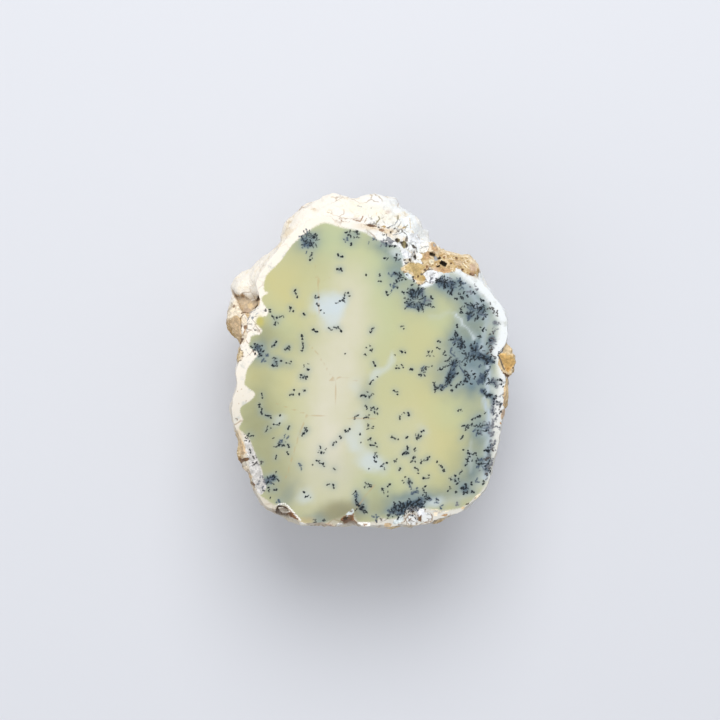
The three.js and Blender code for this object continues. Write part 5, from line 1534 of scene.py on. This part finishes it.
    def trim_flank(self, bm: bmesh.types.BMesh) -> None:
        """Draws in the top lump's steep flank above the sandy ledge, and the notch in its outline."""
        side_mm, near_mm, far_mm = 4.0, 1.6, 3.0
        least_share, rim_mm = 0.1, 0.5
        x, y, z = np.array([self.face_place(v.co) for v in bm.verts]).T
        high = smooth_share((z - self.flank_foot_mm) / self.flank_rise_mm)
        along = smooth_share((y - self.flank_from_mm[1]) / near_mm)
        along = along * smooth_share((self.flank_to_mm - y) / far_mm)
        share = smooth_share((x - self.flank_from_mm[0]) / side_mm) * high * along
        away = np.hypot(x - self.notch_mm[0], y - self.notch_mm[1])
        pull = smooth_share((self.notch_reach_mm - away) / self.notch_ease_mm) * high
        flank = []
        for vert, part, pulled in zip(bm.verts, share, pull):
            vert.co.x -= (part * self.flank_trim_mm + pulled * self.notch_pull_mm) * MM
            vert.co.y -= pulled * self.notch_pull_mm * MM
            if part > least_share and vert.co.z < (FACE_HEIGHT_MM - rim_mm) * MM:
                flank.append(vert)
        self.relax(bm, flank, self.flank_passes)

    def roughen(self, bm: bmesh.types.BMesh) -> None:
        """Moves the rough surface in and out along its normals."""
        bm.normal_update()
        places = [self.face_place(v.co) for v in bm.verts]
        rows = np.array(places)
        host, crumble = patch_depth(rows, HOST_PATCHES), patch_depth(rows, CRUMBLES)
        smooth_outlines = [outline for outline, _ in FACETS] + [PEARL_LUMP]
        even = np.max([outline_depth(rows, outline) for outline in smooth_outlines], axis=0)
        relief = self.pattern.relief(rows)
        knob_spots = [(Vector((x, y, FACE_HEIGHT_MM - 0.5 * r)), r) for x, y, r in KNOBS]
        for vert, p, host_patch, crumb_patch, even_patch, rise in zip(
            bm.verts, places, host, crumble, even, relief
        ):
            below = FACE_HEIGHT_MM - p.z
            if p.z < 0.05 or below < 0.5 - self.crown_mm:
                continue
            wander = 0.7 * noise.noise(p / 1.6)
            host_share = unit_share(0.5 + (max(host_patch, self.back_host(p)) + wander) / self.host_blend_mm)
            crumb_share = unit_share(0.3 + (crumb_patch + wander) / self.crumb_blend_mm)
            white = (1 - crumb_share) * self.rind_height(p) + crumb_share * self.crumb_height(p)
            height = (1 - host_share) * white + host_share * self.host_height(p)
            for spot, r in knob_spots:
                away = (p - spot).length / (1.5 * r)
                if away < 1:
                    height = max(height, 0.2 * r * (1 - away**2))
            calm = unit_share(p.z / self.foot_mm) * unit_share(self.rim_share + abs(below) / self.rim_band_mm)
            calm *= 1 - 0.7 * unit_share(even_patch / 0.5)
            vert.co += vert.normal * height * calm * MM
            vert.co.z += rise * max(0.0, vert.normal.z) * unit_share(below / 0.8) * MM
            vert.co.z = max(vert.co.z, 0.0)

    def saw(self, bm: bmesh.types.BMesh) -> None:
        """Cuts the raised part off again and closes the cut with one flat face."""
        everything = bm.verts[:] + bm.edges[:] + bm.faces[:]
        height, snap = FACE_HEIGHT_MM * MM, 2e-6
        cut = bmesh.ops.bisect_plane(
            bm, geom=everything, plane_co=(0, 0, height), plane_no=(0, 0, 1), clear_outer=True
        )
        rim = [g for g in cut["geom_cut"] if isinstance(g, bmesh.types.BMEdge)]
        bmesh.ops.holes_fill(bm, edges=rim, sides=0)
        for vert in bm.verts:
            if abs(vert.co.z - height) < snap:
                vert.co.z = height

    def face_faces(self, bm: bmesh.types.BMesh) -> list[bmesh.types.BMFace]:
        """Finds the faces that lie in the polished plane."""
        limit = FACE_HEIGHT_MM * MM - 1e-6
        return [f for f in bm.faces if all(v.co.z > limit for v in f.verts)]

    def grid_face(self, bm: bmesh.types.BMesh) -> None:
        """Cuts the polished face into small squares, then into triangles."""
        step = self.face_grid_mm * MM
        for axis in (0, 1):
            faces = self.face_faces(bm)
            places = [v.co[axis] for f in faces for v in f.verts]
            normal = Vector((0, 0, 0))
            normal[axis] = 1
            for k in range(math.ceil(min(places) / step), math.floor(max(places) / step) + 1):
                near = [
                    f
                    for f in self.face_faces(bm)
                    if min(v.co[axis] for v in f.verts) < k * step < max(v.co[axis] for v in f.verts)
                ]
                geom = dict.fromkeys(g for f in near for g in (*f.verts, *f.edges, f))
                bmesh.ops.bisect_plane(bm, geom=list(geom), plane_co=normal * k * step, plane_no=normal)
        bmesh.ops.triangulate(bm, faces=self.face_faces(bm))

    def refine_face(self, bm: bmesh.types.BMesh) -> None:
        """Splits the face's triangles further where an edge of the pattern passes through them."""
        for target in self.fine_steps_mm:
            faces = self.face_faces(bm)
            middles = np.array([self.face_place(f.calc_center_median()) for f in faces])
            ink = np.abs(self.pattern.dendrite(middles)[0])
            border = np.abs(self.pattern.opal_depth(middles)[0])
            spots = self.pattern.spot_edges(middles)
            close = ink < target
            if target > self.border_step_mm:
                close |= np.minimum(border, spots) < self.border_reach * target
            edges = dict.fromkeys(e for f, c in zip(faces, close) if c for e in f.edges)
            wide = [e for e in edges if e.calc_length() > self.wide_edge * target * MM]
            bmesh.ops.subdivide_edges(bm, edges=wide, cuts=1)
            bmesh.ops.triangulate(bm, faces=[f for f in self.face_faces(bm) if len(f.verts) > 3])

    def write_values(self, mesh: bpy.types.Mesh) -> None:
        """Stores the pattern's values on the mesh's points, for the material to read."""
        places = np.array([self.face_place(v.co) for v in mesh.vertices])
        on_face = places[:, 2] > FACE_HEIGHT_MM - 0.01
        table = self.pattern.values(places, on_face)
        back_top = FACE_HEIGHT_MM - self.back_from_mm
        back = [self.back_host(Vector(p)) if p[2] < back_top else FAR_OUTSIDE_MM for p in places]
        table["host"] = np.maximum(table["host"], back)
        table["paint"] = self.pattern.paint(places)
        for name in ("plate", "fleck"):
            table[name], table[f"{name}_tint"] = self.pattern.drawn_depth(places, name)
        for name, values in table.items():
            kind, field_name = ("FLOAT_COLOR", "color") if values.ndim == 2 else ("FLOAT", "value")
            attribute = mesh.attributes.new(name, kind, "POINT")
            attribute.data.foreach_set(field_name, values.astype(np.float32).ravel())

    def build(self, node: bpy.types.Object) -> bpy.types.Object:
        """Makes the whole stone.

        Args:
            node: The CAD node that it stands for.

        Returns:
            The finished piece.
        """
        piece = self.node_copy(node)
        self.remesh(piece)
        bm = bmesh.new()
        bm.from_mesh(piece.data)
        self.soften_hollow(bm)
        self.trim_flank(bm)
        self.refine_rough(bm)
        self.lay_facets(bm)
        self.roughen(bm)
        self.saw(bm)
        self.grid_face(bm)
        self.refine_face(bm)
        face = set(self.face_faces(bm))
        for f in bm.faces:
            f.smooth = f not in face
        for edge in bm.edges:
            edge.smooth = len({f in face for f in edge.link_faces}) == 1
        bm.to_mesh(piece.data)
        bm.free()
        self.write_values(piece.data)
        return piece


@dataclass(frozen=True)
class OpalAndRind:
    """Common opal with a rind of porcelain opal and sandstone, ground and polished on one side.

    The polished side gives the eye clean colour under a soft gloss, the rind is chalky white, and
    the sandstone is dull and grainy.
    """

    name: str = "polished_common_opal"
    opal_ior: float = 1.45
    polish_roughness: float = 0.16
    rind_roughness: float = 0.55
    host_roughness: float = 0.9
    ink_tones: tuple[tuple[float, str], ...] = (
        (0.0, "10181E"), (0.34, "3E4D5E"), (0.66, "6C6E74"), (1.0, "45403E"),
    )

    def build(self) -> bpy.types.Material:
        """Makes the material.

        Returns:
            The new material.
        """
        material = bpy.data.materials.new(self.name)
        material.use_nodes = True
        bench = NodeBench(material.node_tree)
        place = bench.add("ShaderNodeTexCoord").outputs["Object"]
        mm = bench.add("ShaderNodeVectorMath", {0: place, "Scale": 1 / MM}, operation="SCALE").outputs[0]
        axes = bench.add("ShaderNodeSeparateXYZ", {0: mm})
        noise_maps = {
            "edge": bench.noise(mm, 0.42, 2.0, 0.6).outputs["Fac"],
            "grain": bench.noise(mm, 0.7, 3.0, 0.65).outputs["Fac"],
            "mottle": bench.noise(mm, 2.6, 4.0, 0.6).outputs["Fac"],
            "drift": bench.noise(mm, 9.0, 3.0, 0.5).outputs["Fac"],
            "broad": bench.noise(mm, 24.0, 2.0, 0.5).outputs["Fac"],
            "grains": bench.grains(mm, 0.42),
            "flakes": bench.grains(mm, 0.8),
        }
        polished = bench.math("GREATER_THAN", axes.outputs["Z"], FACE_HEIGHT_MM - 0.02)

        depth = bench.math(
            "ADD", bench.read("opal_depth"), bench.math("MULTIPLY_ADD", noise_maps["edge"], 0.7, -0.35)
        )
        melt = bench.read("melt")
        is_opal = bench.fade(depth, bench.math("MULTIPLY", melt, -1.0), melt)
        host_depth = bench.math(
            "ADD", bench.read("host"), bench.math("MULTIPLY_ADD", noise_maps["mottle"], 2.6, -1.3)
        )
        is_host = bench.fade(host_depth, -0.2, 0.2)

        rind = self.rind_colour(bench, noise_maps, mm, axes, polished)
        body = bench.mix(is_opal, rind, self.opal_colour(bench, noise_maps))
        body = bench.mix(is_host, body, self.host_colour(bench, noise_maps))
        body = bench.mix(self.host_seam(bench, noise_maps, host_depth), body, "54453A")
        body = self.spots(bench, body)
        for name in ("plate", "fleck"):
            body = self.drawn(bench, noise_maps, body, name)
        body = bench.mix(self.ink(bench, noise_maps), body, self.ink_colour(bench))

        skin = bench.add(
            "ShaderNodeBsdfPrincipled",
            {
                "Base Color": body,
                "Roughness": self.roughness(bench, is_host, polished),
                "Normal": self.bump(bench, noise_maps, is_host, polished),
                "IOR": self.opal_ior,
                "Subsurface Weight": 0.18,
                "Subsurface Radius": (1.0, 0.95, 0.8),
                "Subsurface Scale": 0.9 * MM,
            },
        )
        bench.add("ShaderNodeOutputMaterial", {"Surface": skin.outputs[0]})
        return material

    def opal_colour(self, bench: NodeBench, noise_maps: Mapping[str, Socket]) -> Socket:
        """Layers the opal's tints from yellow-green to cream, olive, milk and slate blue; part of the cream
        is a painted reflection.

        Args:
            bench: Where the nodes are added.
            noise_maps: The shared noise patterns.

        Returns:
            The socket with the opal's colour.
        """
        colour = bench.mix(noise_maps["broad"], "B9BA8F", "C0BF93")
        drift = bench.math("MULTIPLY_ADD", noise_maps["drift"], 0.9, 0.55)
        for name, code in (
            ("gold", "C4BD86"),
            ("green", "B6C29A"),
            ("olive", "949572"),
            ("cream", "D1CDB9"),
            ("pale", "D6DAD0"),
            ("blue", "587382"),
            ("haze", "8F9FA0"),
            ("glow", "4A5D6A"),
            ("fog", "B0BDC4"),
            ("milk", "C6D0D2"),
        ):
            share = bench.math("MULTIPLY", bench.read(name), drift, clamp=True)
            colour = bench.mix(share, colour, code)
        crack = bench.fade(bench.read("opal_crack"), 0.03, 0.34, 0.5, 0.0)
        crack = bench.math("MULTIPLY", crack, bench.fade(noise_maps["mottle"], 0.3, 0.5, 0.25, 1.0))
        return bench.mix(crack, colour, "B59A70")

    def rind_colour(
        self,
        bench: NodeBench,
        noise_maps: Mapping[str, Socket],
        mm: Socket,
        axes: bpy.types.Node,
        polished: Socket,
    ) -> Socket:
        """Colours the rind: chalk white, warmer to the left, with painted shade that darkens it towards the
        near end, and with stain, knobs and brown cracks.

        Args:
            bench: Where the nodes are added.
            noise_maps: The shared noise patterns.
            mm: The place on the stone in millimetres.
            axes: That place split into its three parts.
            polished: One on the polished face, else nothing.

        Returns:
            The socket with the rind's colour.
        """
        sideways = bench.fade(axes.outputs["X"], -14.0, 14.0)
        # Painted shade and light: the rind is darker towards the near end and brighter towards the far end,
        # where the key light is; the change from left to right is its own colour.
        shaded_near_end, lit_far_end = bench.mix(sideways, "CFC8B8", "D3D1C8"), bench.mix(sideways, "F0E9DC", "E4E8E8")
        colour = bench.mix(bench.fade(axes.outputs["Y"], -30.0, 7.0), shaded_near_end, lit_far_end)
        blotch = bench.fade(noise_maps["mottle"], 0.52, 0.72, 0.0, 0.55)
        unpolished = bench.math("SUBTRACT", 1.0, polished)
        colour = bench.mix(bench.math("MULTIPLY", blotch, unpolished), colour, "E2CDA4")
        veil = bench.math("MULTIPLY", bench.fade(noise_maps["mottle"], 0.46, 0.3), polished)
        colour = bench.mix(bench.math("MULTIPLY", veil, 0.7), colour, "BFC2BC")
        inside_knob = bench.fade(bench.read("knob"), -0.05, 0.2)
        colour = bench.mix(bench.math("MULTIPLY", inside_knob, polished), colour, "DCDEDC")
        knob_line = bench.fade(bench.math("ABSOLUTE", bench.read("knob")), 0.06, 0.2, 0.75, 0.0)
        knob_line = bench.math("MULTIPLY", knob_line, bench.fade(noise_maps["grain"], 0.4, 0.6))
        colour = bench.mix(knob_line, colour, "8A6A48")

        swirl = bench.noise(mm, 3.4, 2.0, 0.5).outputs["Color"]
        shift = bench.add("ShaderNodeVectorMath", {0: swirl, "Scale": 3.0}, operation="SCALE").outputs[0]
        bent = bench.add("ShaderNodeVectorMath", {0: mm, 1: shift}, operation="ADD").outputs[0]
        hair = bench.fade(bench.cell_edges(bent, 4.2), 0.012, 0.05, 0.6, 0.0)
        hair = bench.math("MULTIPLY", hair, bench.fade(noise_maps["drift"], 0.47, 0.6))
        right_rim = bench.math(
            "MULTIPLY", bench.fade(axes.outputs["X"], 14.0, 20.0), bench.fade(axes.outputs["Z"], 22.0, 28.0)
        )
        hair = bench.math("MULTIPLY", hair, bench.math("SUBTRACT", 1.0, right_rim))
        colour = bench.mix(hair, colour, "9E8262")

        crumble = bench.math("MULTIPLY_ADD", noise_maps["mottle"], 2.4, -1.2)
        crumble = bench.fade(bench.math("ADD", bench.read("crumble"), crumble), -0.3, 0.7)
        web = bench.fade(bench.cell_edges(bent, 2.0), 0.02, 0.09, 0.65, 0.0)
        web = bench.math("MULTIPLY", web, bench.fade(noise_maps["mottle"], 0.44, 0.56))
        web_tint = bench.mix(bench.fade(noise_maps["drift"], 0.42, 0.62), "5E5850", "85705A")
        return bench.mix(bench.math("MULTIPLY", web, crumble), colour, web_tint)

    def host_colour(self, bench: NodeBench, noise_maps: Mapping[str, Socket]) -> Socket:
        """Colours the sandstone: tan with paler and browner patches and single dark and pale grains.

        Args:
            bench: Where the nodes are added.
            noise_maps: The shared noise patterns.

        Returns:
            The socket with the sandstone's colour.
        """
        colour = bench.mix(bench.fade(noise_maps["mottle"], 0.38, 0.62), "B99C6C", "D2BC92")
        colour = bench.mix(bench.fade(noise_maps["grain"], 0.5, 0.68, 0.0, 0.6), colour, "9C7F52")
        flakes, shade = noise_maps["flakes"], noise_maps["grains"]
        colour = bench.mix(bench.fade(flakes, 0.68, 0.9, 0.0, 0.5), colour, "A07C4E")
        colour = bench.mix(bench.fade(flakes, 0.3, 0.1, 0.0, 0.55), colour, "EAD9B8")
        colour = bench.mix(bench.fade(shade, 0.78, 0.96, 0.0, 0.5), colour, "7E6240")
        return bench.mix(bench.fade(shade, 0.25, 0.05, 0.0, 0.5), colour, "F1E6CC")

    def host_seam(self, bench: NodeBench, noise_maps: Mapping[str, Socket], host_depth: Socket) -> Socket:
        """Draws the broken dark line along which the sandstone meets the rind."""
        line = bench.fade(bench.math("ABSOLUTE", host_depth), 0.06, 0.24, 0.8, 0.0)
        return bench.math("MULTIPLY", line, bench.fade(noise_maps["grain"], 0.46, 0.6))

    def spots(self, bench: NodeBench, body: Socket) -> Socket:
        """Lays the single spots of stain, crumb and pit, and a few of painted shade and painted light, over
        the stone's colour.
        """
        paint = bench.add("ShaderNodeAttribute", attribute_name="paint")
        bare = bench.mix(paint.outputs["Alpha"], body, "000000")
        return bench.add(
            "ShaderNodeMix", {0: 1.0, 6: bare, 7: paint.outputs["Color"]}, data_type="RGBA", blend_type="ADD"
        ).outputs[2]

    def drawn(self, bench: NodeBench, noise_maps: Mapping[str, Socket], body: Socket, name: str) -> Socket:
        """Lays the plates or the flecks over the stone's colour, grainy and with uneven edges."""
        wander = bench.math("MULTIPLY_ADD", noise_maps["edge"], 0.44, -0.22)
        depth = bench.math("ADD", bench.read(name), wander)
        paint = bench.add("ShaderNodeAttribute", attribute_name=f"{name}_tint")
        share = bench.math("MULTIPLY", bench.fade(depth, -0.09, 0.09), paint.outputs["Alpha"])
        grain = bench.fade(noise_maps["grain"], 0.32, 0.66, 0.82, 1.08)
        if name == "plate":
            for size in ("grains", "flakes"):
                grain = bench.math("MULTIPLY", grain, bench.fade(noise_maps[size], 0.1, 0.9, 1.08, 0.87))
        inputs = {0: paint.outputs["Color"], "Scale": grain}
        colour = bench.add("ShaderNodeVectorMath", inputs, operation="SCALE")
        return bench.mix(share, body, colour.outputs[0])

    def ink(self, bench: NodeBench, noise_maps: Mapping[str, Socket]) -> Socket:
        """Tells how much of a dendrite each point shows, with uneven edges."""
        wander = bench.math("MULTIPLY_ADD", noise_maps["edge"], 0.4, -0.2)
        gap = bench.math("ADD", bench.read("dendrite"), wander)
        blur = bench.read("blur")
        return bench.fade(gap, bench.math("MULTIPLY", blur, -1.0), blur, 1.0, 0.0)

    def ink_colour(self, bench: NodeBench) -> Socket:
        """Colours the dendrites, from blue-black through slate and grey to rusty black."""
        ramp_node = bench.add("ShaderNodeValToRGB", {"Fac": bench.read("tone")})
        stops = ramp_node.color_ramp.elements
        for position, _ in self.ink_tones[1:-1]:
            stops.new(position)
        for stop, (_, code) in zip(stops, self.ink_tones):
            stop.color = to_linear(code)
        return ramp_node.outputs[0]

    def roughness(self, bench: NodeBench, is_host: Socket, polished: Socket) -> Socket:
        """Makes the polished face glossy, the rind matt and the sandstone dull."""
        rough = bench.fade(is_host, 0.0, 1.0, self.rind_roughness, self.host_roughness)
        smooth = bench.fade(is_host, 0.0, 1.0, self.polish_roughness, self.rind_roughness)
        return bench.add("ShaderNodeMix", {0: polished, 2: rough, 3: smooth}, data_type="FLOAT").outputs[0]

    def bump(
        self, bench: NodeBench, noise_maps: Mapping[str, Socket], is_host: Socket, polished: Socket
    ) -> Socket:
        """Adds the finest grain of the rough side, too small for the mesh."""
        fine = bench.add(
            "ShaderNodeMix", {0: is_host, 2: noise_maps["edge"], 3: noise_maps["grain"]}, data_type="FLOAT"
        ).outputs[0]
        strength = bench.math("SUBTRACT", 1.0, polished)
        return bench.add(
            "ShaderNodeBump", {"Strength": strength, "Distance": 0.25 * MM, "Height": fine}
        ).outputs[0]


@dataclass
class Studio:
    """A pale table, soft light from beyond the stone's far end, and a camera straight above it."""

    floor_size: float = 3.0
    px_per_mm: float = 4.2
    picture_px: int = 720
    stone_middle_px: Point = (371.0, 361.0)
    camera_height: float = 0.9
    sensor: float = 36.0
    surround_strength: float = 0.66

    def build(self) -> None:
        """Makes the floor, the lights and the camera."""
        self.floor()
        self.lights()
        self.camera()

    def floor(self) -> None:
        """Makes the table top, matt pale grey paper."""
        bm = bmesh.new()
        bmesh.ops.create_grid(bm, x_segments=1, y_segments=1, size=self.floor_size / 2)
        mesh = bpy.data.meshes.new("table_top")
        bm.to_mesh(mesh)
        bm.free()
        table = bpy.data.objects.new("table_top", mesh)
        bpy.context.scene.collection.objects.link(table)
        material = bpy.data.materials.new("pale_grey_paper")
        material.use_nodes = True
        skin = material.node_tree.nodes["Principled BSDF"]
        skin.inputs["Base Color"].default_value = to_linear("D3D5DA")
        skin.inputs["Roughness"].default_value = 0.9
        mesh.materials.append(material)

    def lights(self) -> None:
        """Makes a big soft light past the far end, a weaker one opposite, and an even surround."""
        aim = Vector((0, 0, 0.02))
        for name, place, size, power in (
            ("key", Vector((0.04, 0.62, 0.78)), 0.8, 7.6),
            ("fill", Vector((-0.5, -0.45, 0.8)), 0.9, 1.6),
        ):
            light = bpy.data.lights.new(name, "AREA")
            light.shape = "DISK"
            light.size = size
            light.energy = power
            lamp = bpy.data.objects.new(name, light)
            lamp.location = place
            lamp.rotation_euler = (aim - place).to_track_quat("-Z", "Y").to_euler()
            bpy.context.scene.collection.objects.link(lamp)
        world = bpy.data.worlds.new("light_tent")
        world.use_nodes = True
        background = world.node_tree.nodes["Background"]
        background.inputs["Color"].default_value = to_linear("F1F2F6")
        background.inputs["Strength"].default_value = self.surround_strength
        bpy.context.scene.world = world

    def camera(self) -> None:
        """Makes the camera, looking straight down with the far end of the face at the top."""
        middle = self.picture_px / 2
        x = (middle - self.stone_middle_px[0]) / self.px_per_mm + FACE_SHIFT_MM[0]
        y = (self.stone_middle_px[1] - middle) / self.px_per_mm + FACE_SHIFT_MM[1]
        data = bpy.data.cameras.new("camera")
        data.sensor_width = self.sensor
        view_width = self.picture_px / self.px_per_mm * MM
        data.lens = self.sensor * self.camera_height / view_width
        camera = bpy.data.objects.new("camera", data)
        camera.location = (x * MM, y * MM, FACE_HEIGHT_MM * MM + self.camera_height)
        bpy.context.scene.collection.objects.link(camera)
        bpy.context.scene.camera = camera
        bpy.context.scene.view_settings.view_transform = "Standard"


def main() -> None:
    """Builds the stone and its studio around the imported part."""
    logging.basicConfig(level=logging.INFO, format="%(message)s")
    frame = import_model()
    Studio().build()
    stone = PolishedNodule(FacePattern()).build(frame["nodes"][NODE])
    stone.data.materials.append(OpalAndRind().build())
    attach(stone, "root")
    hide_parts(NODE)
    triangles = sum(len(p.vertices) - 2 for p in stone.data.polygons)
    LOG.info("%s: %d points, %d triangles", PIECE, len(stone.data.vertices), triangles)


if __name__ == "__main__":
    main()
